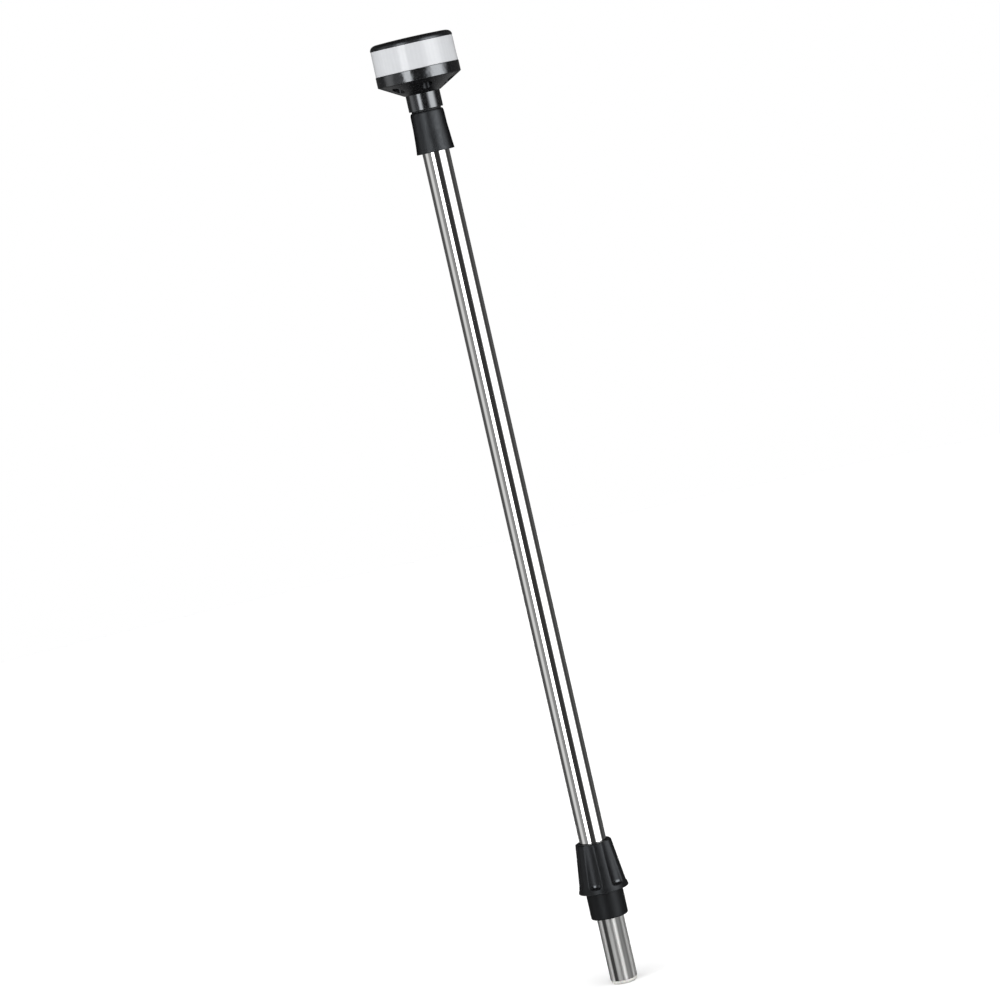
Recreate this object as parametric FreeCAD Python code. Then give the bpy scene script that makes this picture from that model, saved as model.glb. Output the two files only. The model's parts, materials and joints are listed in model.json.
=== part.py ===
"""Plug-in all-round navigation light on a pole, for the stern or bow of a small boat.

Millimetres. +Z runs up the pole. The origin is the centre of the plug's lower end, so everything above it is
positive. -Y is the front. One STEP file is written for each separate piece, named after the piece.
"""

import FreeCAD, Part
import math
import os
from FreeCAD import Vector

OUT = "parts"

# ---------------------------------------------------------------- driving dimensions
TUBE_OD = 19.05             # 3/4 inch tube
TUBE_WALL = 1.65            # 0.065 inch wall
LIGHT_HEIGHT = 609.6        # 24 inches from the deck fitting's lip to the top of the light
STUB_LENGTH = 45.3          # bare tube that enters the deck fitting
SLEEVE_SHOWN = 19.4         # sleeve that enters the deck fitting, below the collar
PLUG_PROUD = 2.6            # plug below the end of the tube
RUN = 0.08                  # radial clearance of a piece that turns
SLIP = 0.02                 # radial clearance of pieces pushed together
EASE = 0.05                 # radial clearance of pieces dropped together
SQUEEZED = 0.005            # what a squeezed seal leaves free

CAP_R = 28.9
LENS_R_TOP = 28.8
LENS_R_BOTTOM = 29.0
BEZEL_R = 29.3              # the widest piece
CONE_FOOT_R = 12.4
NECK_R = 12.0
CAP_HEIGHT = 4.6
LENS_HEIGHT = 17.8
BEZEL_HEIGHT = 7.7
CONE_HEIGHT = 9.2
NECK_HEIGHT = 11.5
NECK_GAP = 1.0              # groove between neck and boot, filled by the gasket
BOOT_HEIGHT = 28.7
BOOT_FOOT_R = 13.4

COLLAR_HEIGHT = 35.0
COLLAR_TOP_R = 13.1
COLLAR_WAIST_R = 16.4       # where the taper ends and the foot flares
COLLAR_FOOT_R = 17.75
SLEEVE_R = 13.2
FLUTES = 6
FLUTE_PHASE = 9.3           # degrees from +X to the first flute
LUGS = 3                    # bayonet lugs inside the collar's mouth
LUG_SPAN = 28.0             # degrees
SCREWS = 6
SCREW_PHASE = 41.0          # degrees from +X to the first head screw
SCREW_CIRCLE_R = 21.0
CONTACT_X = 4.0             # contacts stand this far either side of the axis
CONTACT_BORE_R = 1.25

# ---------------------------------------------------------------- levels along the pole
TUBE_R = TUBE_OD / 2
BORE_R = TUBE_R - TUBE_WALL
Z_TUBE_FOOT = PLUG_PROUD
Z_SLEEVE_FOOT = Z_TUBE_FOOT + STUB_LENGTH
Z_DECK = Z_SLEEVE_FOOT + SLEEVE_SHOWN           # the collar's lower edge
Z_COLLAR_TOP = Z_DECK + COLLAR_HEIGHT
Z_TOP = Z_DECK + LIGHT_HEIGHT
Z_CAP = Z_TOP - CAP_HEIGHT
Z_LENS = Z_CAP - LENS_HEIGHT
Z_BEZEL = Z_LENS - BEZEL_HEIGHT
Z_CONE = Z_BEZEL - CONE_HEIGHT
Z_NECK = Z_CONE - NECK_HEIGHT
Z_BOOT_TOP = Z_NECK - NECK_GAP
Z_BOOT = Z_BOOT_TOP - BOOT_HEIGHT
Z_TUBE_TOP = Z_BOOT_TOP - 11.1                  # the tube ends part way up inside the boot
Z_SLEEVE_TOP = Z_DECK + 18.7
Z_ADAPTER_RIVET = Z_TUBE_TOP - 8.0
Z_SLEEVE_RIVET = Z_DECK + 10.7

# ---------------------------------------------------------------- sleeve and collar insides
SLEEVE_TOP_R = 11.6
SLEEVE_SHOULDER = 3.1       # the sleeve steps in this far above the deck fitting's lip
SEAL_LAND = 2.4             # height of the sleeve's seal groove
SEAL_DEPTH = 1.75
RING_THICK = 1.1            # retaining ring under the sleeve
RING_POCKET_R = 10.95
RING_GROOVE_DEPTH = 0.6
WASHER_THICK = 2.0
WASHER_R = 12.2
MOUTH_DEPTH = 2.9           # recess in the collar that takes the deck fitting's lip
MOUTH_R = 15.9
LUG_R = 14.7                # the lugs reach in to here
LUG_HEIGHT = 1.5
COLLAR_BORE_R = TUBE_R + 0.3
COLLAR_WELL_R = SLEEVE_TOP_R + 0.35
SHOULDER_POCKET_R = SLEEVE_R + 0.4
SHOULDER_POCKET_DEPTH = SLEEVE_SHOULDER + 0.3
RIVET_R = 1.6

# ---------------------------------------------------------------- head insides
FLANGE_R = 26.6             # housing flange that locates the bezel ring
FLANGE_HEIGHT = 3.0
Z_FLANGE = Z_BEZEL + FLANGE_HEIGHT
LEDGE_THICK = 2.6           # bezel ring's inner ledge
LEDGE_INNER_R = 17.5
Z_LEDGE = Z_FLANGE + LEDGE_THICK
HOUSING_GROOVE = (FLANGE_R - 2.6, FLANGE_R - 0.8)           # inner and outer radius of the housing seal's groove
HOUSING_GROOVE_DEPTH = 1.1
LENS_GROOVE = (25.5, 27.3)                                  # the same for the lens seal, in the ledge
LENS_GROOVE_DEPTH = 1.0
BOSS_R = 3.2                # bosses on the ledge that take the head screws
BOSS_TOP = Z_LEDGE + 2.6
POCKET_R = 4.0              # pockets in the cone for the head screws
Z_POCKET = Z_BEZEL - 0.3
LENS_SPIGOT_R = 27.6
LENS_INNER_R = 26.2
LENS_WALL_STEP = 0.8        # the ribbed part of the wall is thicker by this
LENS_RIBS = 60
Z_LENS_FOOT = Z_LEDGE + 0.5
SEAT_R = 16.4               # heat spreader's seat in the housing
Z_SPREADER = Z_FLANGE - 1.0
Z_BOARD = Z_SPREADER + 2.5
Z_BOARD_TOP = Z_BOARD + 1.6
BOARD_R = 16.0
BOARD_SCREWS = 3
BOARD_SCREW_R = 12.6        # circle of the board screws
BOARD_SCREW_PHASE = 90.0
OPTIC_FOOT_R = 8.0
OPTIC_TOP_R = 14.0
OPTIC_HEIGHT = 14.5
PAD_X = 10.0                # solder pads on the board
PAD_Y = -1.2

# ---------------------------------------------------------------- adapter, cable and plug
ADAPTER_SPIGOT_R = 8.0
ADAPTER_DEPTH = 26.0        # adapter inside the tube
Z_SPIGOT_TOP = Z_CONE + 1.8
Z_SPIGOT_SEAL = Z_NECK + 4.0
SPIGOT_SEAL_LAND = 1.9
SPIGOT_SEAL_DEPTH = 1.1
GROMMET_R = 5.5
GROMMET_HEIGHT = 5.0
CABLE_R = 2.75
CORE_R = 0.9
CORE_X = 1.15
Z_CABLE_FOOT = 40.0
Z_CABLE_TOP = Z_SPIGOT_TOP + 1.2
Z_PLUG_TOP = PLUG_PROUD + 28.0
Z_PLUG_WEB = 20.0           # top of the plug's solid part
Z_CONTACT = 1.0             # the contacts start this far inside the plug
Z_CUP = 30.0                # top of the contacts' solder cups
CUP_DEPTH = 3.6
CONTACT_R = 2.0


# ---------------------------------------------------------------- helpers
def turned(*outline):
    """Full turn about Z of a closed outline of (r, z) corners. (r, z, via_r, via_z) is reached by an arc."""
    edges = []
    previous = Vector(outline[0][0], 0, outline[0][1])
    for entry in outline[1:] + outline[:1]:
        end = Vector(entry[0], 0, entry[1])
        if len(entry) == 4:
            edges.append(Part.Arc(previous, Vector(entry[2], 0, entry[3]), end).toShape())
        else:
            edges.append(Part.makeLine(previous, end))
        previous = end
    face = Part.Face(Part.Wire(edges))
    return face.revolve(Vector(0, 0, 0), Vector(0, 0, 1), 360)


def disc(radius, z_low, z_high, x=0.0, y=0.0):
    return Part.makeCylinder(radius, z_high - z_low, Vector(x, y, z_low))


def ring(outer, inner, z_low, z_high, x=0.0, y=0.0):
    return disc(outer, z_low, z_high, x, y).cut(disc(inner, z_low - 1, z_high + 1, x, y))


def squeezed_ring(outer, inner, z_low, z_high):
    """A round rubber ring as it is squeezed into its groove."""
    body = ring(outer, inner, z_low, z_high)
    corner = 0.4 * min(outer - inner, z_high - z_low)
    return body.makeFillet(corner, [e for e in body.Edges if isinstance(e.Curve, Part.Circle)])


def box(x, y, z_low, size_x, size_y, size_z):
    return Part.makeBox(size_x, size_y, size_z, Vector(x - size_x / 2, y - size_y / 2, z_low))


def turn(shape, degrees):
    copy = shape.copy()
    copy.rotate(Vector(0, 0, 0), Vector(0, 0, 1), degrees)
    return copy


def around(shape, count, phase=0.0):
    """Copies of a shape that sits on +X, spread evenly about Z."""
    return [turn(shape, phase + 360.0 * i / count) for i in range(count)]


def both_sides(make):
    """What make(x_sign) gives on the positive and the negative side."""
    return [make(side) for side in (1, -1)]


def radial_rod(radius, r_low, r_high, z):
    """A rod along +X, from r_low to r_high."""
    return Part.makeCylinder(radius, r_high - r_low, Vector(r_low, 0, z), Vector(1, 0, 0))


def bend(*points):
    """A smooth curve through the points that starts and ends straight up."""
    up = Vector(0, 0, 1)
    curve = Part.BSplineCurve()
    curve.interpolate(Points=[Vector(*p) for p in points], InitialTangent=up, FinalTangent=up)
    return curve.toShape()


def wire_along(edges, radius):
    """A round wire along joined edges, the first of which starts straight up."""
    start = edges[0].valueAt(edges[0].FirstParameter)
    section = Part.Wire(Part.makeCircle(radius, start, Vector(0, 0, 1)))
    return Part.Wire(edges).makePipeShell([section], True, False)


def cross_recess(width, thick, depth, z_low, x):
    """Screwdriver cross for a screw head at (x, 0)."""
    one = box(x, 0, z_low, width, thick, depth)
    two = box(x, 0, z_low, thick, width, depth)
    return one.fuse(two)


# ---------------------------------------------------------------- pole
def pole_tube():
    edge = 0.3
    groove_r = TUBE_R - RING_GROOVE_DEPTH
    groove_top = Z_SLEEVE_FOOT + RING_THICK + 0.1
    body = turned(
        (BORE_R, Z_TUBE_FOOT),
        (TUBE_R - edge, Z_TUBE_FOOT),
        (TUBE_R, Z_TUBE_FOOT + edge),
        (TUBE_R, Z_SLEEVE_FOOT),
        (groove_r, Z_SLEEVE_FOOT),
        (groove_r, groove_top),
        (TUBE_R, groove_top),
        (TUBE_R, Z_TUBE_TOP - edge),
        (TUBE_R - edge, Z_TUBE_TOP),
        (BORE_R, Z_TUBE_TOP),
    )
    adapter_hole = radial_rod(RIVET_R + SLIP, BORE_R - 1, TUBE_R + 1, Z_ADAPTER_RIVET)
    sleeve_hole = radial_rod(RIVET_R + SLIP, BORE_R - 1, TUBE_R + 1, Z_SLEEVE_RIVET)
    return body.cut(around(adapter_hole, 2) + around(sleeve_hole, 2, 90))


def tube_adapter():
    """Nylon piece that joins the head's neck to the top of the tube."""
    z_low = Z_TUBE_TOP - ADAPTER_DEPTH
    plug_r = BORE_R - SLIP
    bore_r = CABLE_R + 0.45
    seal_floor_r = ADAPTER_SPIGOT_R - SPIGOT_SEAL_DEPTH
    edge = 0.6
    body = turned(
        (bore_r, z_low),
        (plug_r - 0.8, z_low),
        (plug_r, z_low + 1.5),
        (plug_r, Z_TUBE_TOP),
        (TUBE_R, Z_TUBE_TOP),
        (TUBE_R, Z_BOOT_TOP),
        (ADAPTER_SPIGOT_R, Z_BOOT_TOP),
        (ADAPTER_SPIGOT_R, Z_SPIGOT_SEAL),
        (seal_floor_r, Z_SPIGOT_SEAL),
        (seal_floor_r, Z_SPIGOT_SEAL + SPIGOT_SEAL_LAND),
        (ADAPTER_SPIGOT_R, Z_SPIGOT_SEAL + SPIGOT_SEAL_LAND),
        (ADAPTER_SPIGOT_R, Z_SPIGOT_TOP - edge),
        (ADAPTER_SPIGOT_R - edge, Z_SPIGOT_TOP),
        (GROMMET_R, Z_SPIGOT_TOP),
        (GROMMET_R, Z_SPIGOT_TOP - GROMMET_HEIGHT),
        (bore_r, Z_SPIGOT_TOP - GROMMET_HEIGHT),
    )
    hole = radial_rod(RIVET_R + SLIP, 5.0, TUBE_R + 1, Z_ADAPTER_RIVET)
    return body.cut(around(hole, 2))


def adapter_rivets():
    return around(radial_rod(RIVET_R, 5.1, TUBE_R - 0.15, Z_ADAPTER_RIVET), 2)


def adapter_seal():
    floor_r = ADAPTER_SPIGOT_R - SPIGOT_SEAL_DEPTH
    top = Z_SPIGOT_SEAL + SPIGOT_SEAL_LAND
    return squeezed_ring(ADAPTER_SPIGOT_R + 0.04, floor_r + SLIP, Z_SPIGOT_SEAL + SLIP, top - SLIP)


def neck_gasket():
    return ring(NECK_R - 1.6, ADAPTER_SPIGOT_R + EASE, Z_BOOT_TOP, Z_NECK)


def rubber_boot():
    """Matte rubber cover over the top of the tube, flared towards its lower end."""
    bore = TUBE_R + SLIP
    lead_in = 0.5
    return turned(
        (bore + lead_in, Z_BOOT),
        (BOOT_FOOT_R - 0.3, Z_BOOT),
        (BOOT_FOOT_R, Z_BOOT + 0.35, BOOT_FOOT_R - 0.06, Z_BOOT + 0.1),
        (12.1, Z_BOOT_TOP - 11.0, 12.55, Z_BOOT + 8.6),
        (11.95, Z_BOOT_TOP - 3.6, 12.02, Z_BOOT_TOP - 7.4),
        (10.9, Z_BOOT_TOP, 11.66, Z_BOOT_TOP - 1.1),
        (bore, Z_BOOT_TOP),
        (bore, Z_BOOT + lead_in),
    )


# ---------------------------------------------------------------- head
def head_housing():
    """Neck, cone and flange in one moulding, open at the top, with a pocket in the cone for each head screw."""
    bore_r = ADAPTER_SPIGOT_R + EASE
    shelf_r = SEAT_R - 2.0
    floor = Z_CONE + 2.6
    post_r, through_r, tapped_r = 2.6, 1.7, 1.05
    body = turned(
        (bore_r, Z_NECK),
        (NECK_R - 0.5, Z_NECK),
        (NECK_R - 0.2, Z_NECK + 0.3),
        (NECK_R, Z_CONE),
        (CONE_FOOT_R, Z_CONE),
        (CAP_R, Z_BEZEL),
        (FLANGE_R, Z_BEZEL),
        (FLANGE_R, Z_FLANGE),
        (SEAT_R, Z_FLANGE),
        (SEAT_R, Z_SPREADER),
        (shelf_r, Z_SPREADER),
        (shelf_r, floor + 2.6),
        (10.2, floor),
        (bore_r, floor),
    )
    post = disc(post_r, floor + 0.8, Z_SPREADER, BOARD_SCREW_R)
    body = body.fuse(around(post, BOARD_SCREWS, BOARD_SCREW_PHASE))
    pocket = disc(POCKET_R, Z_CONE, Z_POCKET, SCREW_CIRCLE_R)
    through = disc(through_r, Z_CONE, Z_FLANGE + 1, SCREW_CIRCLE_R)
    tapped = disc(tapped_r, Z_SPREADER - 5.0, Z_SPREADER + 1, BOARD_SCREW_R)
    inner, outer = HOUSING_GROOVE
    seal_groove = ring(outer, inner, Z_FLANGE - HOUSING_GROOVE_DEPTH, Z_FLANGE + 1)
    cuts = around(pocket, SCREWS, SCREW_PHASE) + around(through, SCREWS, SCREW_PHASE)
    cuts += around(tapped, BOARD_SCREWS, BOARD_SCREW_PHASE) + [seal_groove]
    return body.cut(cuts).removeSplitter()


def housing_seal():
    inner, outer = HOUSING_GROOVE
    z_low = Z_FLANGE - HOUSING_GROOVE_DEPTH + SLIP
    return squeezed_ring(outer - 2 * EASE, inner + 2 * EASE, z_low, Z_FLANGE - SQUEEZED)


def bezel_ring():
    """Gloss ring that carries the lens. The head screws pull it down on the housing."""
    fit_r = FLANGE_R + SLIP
    lens_fit_r = LENS_SPIGOT_R + SLIP
    edge = 0.35
    body = turned(
        (fit_r, Z_BEZEL),
        (BEZEL_R - edge, Z_BEZEL),
        (BEZEL_R, Z_BEZEL + edge, BEZEL_R - 0.1, Z_BEZEL + 0.1),
        (BEZEL_R, Z_LENS - edge),
        (BEZEL_R - edge, Z_LENS, BEZEL_R - 0.1, Z_LENS - 0.1),
        (lens_fit_r, Z_LENS),
        (lens_fit_r, Z_LEDGE),
        (LEDGE_INNER_R, Z_LEDGE),
        (LEDGE_INNER_R, Z_FLANGE),
        (fit_r, Z_FLANGE),
    )
    boss = disc(BOSS_R, Z_FLANGE, BOSS_TOP, SCREW_CIRCLE_R)
    tapped_r = 1.5
    hole = disc(tapped_r, Z_FLANGE - 1, BOSS_TOP - 1.0, SCREW_CIRCLE_R)
    inner, outer = LENS_GROOVE
    seal_groove = ring(outer, inner, Z_LEDGE - LENS_GROOVE_DEPTH, Z_LEDGE + 1)
    body = body.fuse(around(boss, SCREWS, SCREW_PHASE))
    return body.cut(around(hole, SCREWS, SCREW_PHASE) + [seal_groove]).removeSplitter()


def head_screws():
    """Pan-head screws, heads down in the pockets."""
    head_r, head_height, shank_r = 2.9, 2.1, 1.46
    face = Z_POCKET - head_height
    tip = BOSS_TOP - 1.3
    one = turned(
        (0, face),
        (head_r - 1.0, face),
        (head_r, face + 1.0, head_r - 0.29, face + 0.29),
        (head_r, Z_POCKET),
        (shank_r, Z_POCKET),
        (shank_r, tip - 0.7),
        (shank_r - 0.6, tip),
        (0, tip),
    )
    one.translate(Vector(SCREW_CIRCLE_R, 0, 0))
    one = one.cut(cross_recess(3.2, 0.8, 1.2, face, SCREW_CIRCLE_R))
    return around(one, SCREWS, SCREW_PHASE)


def lens():
    """Frosted ring with vertical ribs inside that spread the light."""
    ribbed_r = LENS_INNER_R - LENS_WALL_STEP
    body = turned(
        (ribbed_r, Z_LENS_FOOT),
        (LENS_SPIGOT_R, Z_LENS_FOOT),
        (LENS_SPIGOT_R, Z_LENS),
        (LENS_R_BOTTOM, Z_LENS),
        (LENS_R_TOP, Z_CAP),
        (LENS_INNER_R, Z_CAP),
        (LENS_INNER_R, Z_CAP - 3.0),
        (ribbed_r, Z_CAP - 4.2),
    )
    groove_r = 0.55
    groove = disc(groove_r, Z_LENS - 0.6, Z_CAP - 3.4, ribbed_r)
    return body.cut(around(groove, LENS_RIBS))


def lens_seal():
    inner, outer = LENS_GROOVE
    z_low = Z_LEDGE - LENS_GROOVE_DEPTH + 0.01
    return squeezed_ring(outer - EASE, inner + EASE, z_low, Z_LENS_FOOT - SQUEEZED)


def top_cap():
    """Domed cover that closes the lens and keeps light from going up."""
    under = Z_TOP - 2.3
    spigot_r = LENS_INNER_R - EASE
    spigot_foot = Z_CAP - 2.6
    seal_floor_r = spigot_r - 1.0
    return turned(
        (0, under),
        (0, Z_TOP),
        (24.3, Z_TOP - 0.48, 12.2, Z_TOP - 0.12),
        (CAP_R, Z_TOP - 3.8, 27.5, Z_TOP - 1.6),
        (CAP_R, Z_CAP + 0.2),
        (CAP_R - 0.2, Z_CAP),
        (spigot_r, Z_CAP),
        (spigot_r, Z_CAP - 0.7),
        (seal_floor_r, Z_CAP - 0.7),
        (seal_floor_r, Z_CAP - 2.1),
        (spigot_r, Z_CAP - 2.1),
        (spigot_r, spigot_foot),
        (spigot_r - 2.2, spigot_foot),
        (spigot_r - 2.2, under),
    )


def cap_seal():
    return squeezed_ring(LENS_INNER_R - 0.01, LENS_INNER_R - 1.04, Z_CAP - 2.08, Z_CAP - 0.72)


def side_emitter():
    """Clear flared optic over the emitters. The dish in its top turns the light out sideways."""
    foot = Z_BOARD_TOP
    top = foot + OPTIC_HEIGHT
    cavity_top = foot + 1.8
    return turned(
        (0, cavity_top),
        (0, foot + 5.0),
        (OPTIC_TOP_R - 0.8, top, OPTIC_TOP_R * 0.42, foot + 7.4),
        (OPTIC_TOP_R, top),
        (OPTIC_TOP_R, top - 1.0),
        (OPTIC_FOOT_R, foot + 1.2, OPTIC_FOOT_R + 1.3, foot + 6.6),
        (OPTIC_FOOT_R, foot),
        (4.2, foot),
        (3.4, cavity_top),
    )


def board_holes(z_low, z_high, wire_hole_r):
    """Cutters for the holes that the board screws and the two wires pass through."""
    screw = disc(1.4, z_low - 1, z_high + 1, BOARD_SCREW_R)
    wires = both_sides(lambda side: disc(wire_hole_r, z_low - 1, z_high + 1, side * PAD_X, PAD_Y))
    return around(screw, BOARD_SCREWS, BOARD_SCREW_PHASE) + wires


def heat_spreader():
    return disc(SEAT_R - 0.1, Z_SPREADER, Z_BOARD).cut(board_holes(Z_SPREADER, Z_BOARD, 1.5))


def led_board():
    return disc(BOARD_R, Z_BOARD, Z_BOARD_TOP).cut(board_holes(Z_BOARD, Z_BOARD_TOP, CORE_R + 0.1))


def led_emitters():
    side, height, offset = 2.1, 0.9, 1.35
    spots = [(x, y) for x in (-offset, offset) for y in (-offset, offset)]
    return [box(x, y, Z_BOARD_TOP, side, side, height) for x, y in spots]


def board_components():
    """Regulator, choke, diode and chip capacitors, all low enough to hide behind the bezel ring."""
    layout = [
        # x, y, size x, size y, height
        (0.0, -11.5, 4.8, 3.8, 1.4),
        (6.2, -9.8, 3.0, 3.0, 1.5),
        (-6.6, -9.6, 3.2, 2.0, 1.1),
        (-11.6, 4.4, 1.6, 3.0, 1.2),
        (11.6, 4.6, 1.6, 3.2, 1.2),
        (-9.8, 6.8, 2.0, 1.2, 0.8),
        (9.8, 7.2, 2.0, 1.2, 0.8),
    ]
    return [box(x, y, Z_BOARD_TOP, size_x, size_y, height) for x, y, size_x, size_y, height in layout]


def solder_pads():
    def pad(side):
        x = side * PAD_X
        mound = Part.makeCone(1.5, 1.0, 0.9, Vector(x, PAD_Y, Z_BOARD_TOP))
        return mound.cut(disc(CORE_R + SLIP, Z_BOARD_TOP - 1, Z_BOARD_TOP + 0.5, x, PAD_Y))

    return both_sides(pad)


def board_screws():
    head_r, head_height, shank_r = 2.2, 1.3, 1.0
    top = Z_BOARD_TOP + head_height
    tip = Z_SPREADER - 4.6
    one = turned(
        (0, tip),
        (shank_r, tip),
        (shank_r, Z_BOARD_TOP),
        (head_r, Z_BOARD_TOP),
        (head_r, top - 0.6),
        (head_r - 0.6, top, head_r - 0.18, top - 0.18),
        (0, top),
    )
    one.translate(Vector(BOARD_SCREW_R, 0, 0))
    one = one.cut(cross_recess(2.4, 0.6, 1.0, top - 0.8, BOARD_SCREW_R))
    return around(one, BOARD_SCREWS, BOARD_SCREW_PHASE)


# ---------------------------------------------------------------- cable
def cable_grommet():
    return ring(GROMMET_R - SLIP, CABLE_R + EASE, Z_SPIGOT_TOP - GROMMET_HEIGHT, Z_SPIGOT_TOP)


def cable_jacket():
    body = disc(CABLE_R, Z_CABLE_FOOT, Z_CABLE_TOP)
    return body.cut(both_sides(lambda side: disc(CORE_R + EASE, Z_CABLE_FOOT - 1, Z_CABLE_TOP + 1, side * CORE_X)))


def core_wire(side):
    """One insulated core, from a contact's solder cup up through the jacket to its pad on the board."""
    cup = (side * CONTACT_X, 0, Z_CUP - CUP_DEPTH + 0.4)
    cup_mouth = (side * CONTACT_X, 0, Z_CUP + 0.4)
    jacket_foot = (side * CORE_X, 0, Z_CABLE_FOOT)
    jacket_top = (side * CORE_X, 0, Z_CABLE_TOP)
    under_board = (side * PAD_X, PAD_Y, Z_SPREADER - 0.6)
    pad = (side * PAD_X, PAD_Y, Z_BOARD_TOP + 0.4)
    path = [
        Part.makeLine(cup, cup_mouth),
        bend(cup_mouth, jacket_foot),
        Part.makeLine(jacket_foot, jacket_top),
        bend(jacket_top, under_board),
        Part.makeLine(under_board, pad),
    ]
    return wire_along(path, CORE_R)


def wire_positive():
    return core_wire(1)


def wire_negative():
    return core_wire(-1)


def cable_foam():
    """Foam sleeves that keep the cable from rattling in the tube."""
    length, pitch, count = 30.0, 160.0, 3
    starts = [Z_CABLE_FOOT + 110.0 + pitch * i for i in range(count)]
    return [ring(BORE_R - EASE, CABLE_R + EASE, z, z + length) for z in starts]


def cable_tie():
    z = Z_CABLE_FOOT + 6.0
    band = ring(CABLE_R + 0.9, CABLE_R + EASE, z, z + 2.4)
    head = box(0, CABLE_R + 1.7, z - 0.6, 4.2, 2.2, 3.6)
    return band.fuse(head).removeSplitter()


# ---------------------------------------------------------------- plug end
def contact_plug():
    """Nylon plug pressed into the foot of the tube, with barbs, a rounded end and a keyway."""
    lip_r = TUBE_R - 0.45
    body_r = BORE_R - 0.15
    well_r = 6.4
    barbs = []
    for z in (9.0, 15.0, 21.0):
        barbs += [(body_r, z), (BORE_R - 0.01, z + 0.4), (body_r, z + 2.6)]
    body = turned(
        (0, 0),
        (lip_r - 2.2, 0),
        (lip_r, 2.0, lip_r - 0.5, 0.55),
        (lip_r, PLUG_PROUD),
        (body_r, PLUG_PROUD),
        *barbs,
        (body_r, Z_PLUG_TOP),
        (well_r, Z_PLUG_TOP),
        (well_r, Z_PLUG_WEB),
        (0, Z_PLUG_WEB),
    )
    keyway = box(0, 6.2, -1, 2.4, 3.4, 5.0)
    mouths = both_sides(lambda side: disc(CONTACT_BORE_R + 0.25, -1, Z_CONTACT + 0.1, side * CONTACT_X))
    seats = both_sides(lambda side: disc(CONTACT_R + SLIP, Z_CONTACT, Z_PLUG_WEB + 1, side * CONTACT_X))
    return body.cut([keyway] + mouths + seats)


def contact_sockets():
    """Split brass sockets that take the deck fitting's pins, with solder cups above."""
    def socket(side):
        x = side * CONTACT_X
        barrel = disc(CONTACT_R, Z_CONTACT, Z_CUP, x)
        bore = disc(CONTACT_BORE_R, Z_CONTACT - 1, Z_CONTACT + 12.0, x)
        cup = disc(CORE_R + EASE, Z_CUP - CUP_DEPTH, Z_CUP + 1, x)
        slit = box(x, 0, Z_CONTACT - 1, 0.4, 6.0, 8.0)
        waist = ring(CONTACT_R + 1, CONTACT_R - 0.4, Z_CONTACT + 13.5, Z_CONTACT + 15.5, x)
        return barrel.cut([bore, cup, slit, waist])

    return both_sides(socket)


def heat_shrinks():
    """Heat-shrink sleeves over the solder cups."""
    wall = 0.35
    return both_sides(
        lambda side: ring(CONTACT_R + wall, CONTACT_R + 0.01, Z_PLUG_WEB + 0.6, Z_CUP + 0.6, side * CONTACT_X)
    )


def plug_sleeve():
    """Tough black sleeve fixed round the tube. It guides the pole into the deck fitting."""
    bore = TUBE_R + SLIP
    pocket_top = Z_SLEEVE_FOOT + RING_THICK + 0.15
    edge = 1.0
    body = turned(
        (RING_POCKET_R, Z_SLEEVE_FOOT),
        (SLEEVE_R - edge, Z_SLEEVE_FOOT),
        (SLEEVE_R, Z_SLEEVE_FOOT + edge, SLEEVE_R - 0.29, Z_SLEEVE_FOOT + 0.29),
        (SLEEVE_R, Z_DECK),
        (SLEEVE_R - SEAL_DEPTH, Z_DECK),
        (SLEEVE_R - SEAL_DEPTH, Z_DECK + SEAL_LAND),
        (SLEEVE_R, Z_DECK + SEAL_LAND),
        (SLEEVE_R, Z_DECK + SLEEVE_SHOULDER),
        (SLEEVE_TOP_R, Z_DECK + SLEEVE_SHOULDER),
        (SLEEVE_TOP_R, Z_SLEEVE_TOP - 0.5),
        (SLEEVE_TOP_R - 0.5, Z_SLEEVE_TOP),
        (bore, Z_SLEEVE_TOP),
        (bore, pocket_top),
        (RING_POCKET_R, pocket_top),
    )
    hole = radial_rod(RIVET_R + SLIP, TUBE_R - 1, SLEEVE_R + 1, Z_SLEEVE_RIVET)
    return body.cut(around(hole, 2, 90))


def sleeve_rivets():
    return around(radial_rod(RIVET_R, BORE_R - 0.4, SLEEVE_TOP_R - 0.1, Z_SLEEVE_RIVET), 2, 90)


def sleeve_seal():
    """O-ring that stands proud of the sleeve, to be squeezed by the deck fitting's bore."""
    section_r = SEAL_LAND / 2 - SLIP
    return Part.makeTorus(SLEEVE_R - SEAL_DEPTH + section_r + SLIP, section_r, Vector(0, 0, Z_DECK + SEAL_LAND / 2))


def retaining_ring():
    """Spring ring in the tube's groove, sunk flush in the foot of the sleeve."""
    z_low = Z_SLEEVE_FOOT + EASE
    body = ring(RING_POCKET_R - 0.1, TUBE_R - RING_GROOVE_DEPTH + 0.03, z_low, Z_SLEEVE_FOOT + RING_THICK)
    gap = box(0, TUBE_R, z_low - 1, 5.0, 6.0, 4.0)
    return body.cut(gap)


# ---------------------------------------------------------------- collar
def thrust_washer():
    """Slippery washer held in the collar's groove. It slides with the collar, which turns on it."""
    return ring(WASHER_R, TUBE_R + RUN, Z_SLEEVE_TOP, Z_SLEEVE_TOP + WASHER_THICK)


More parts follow.
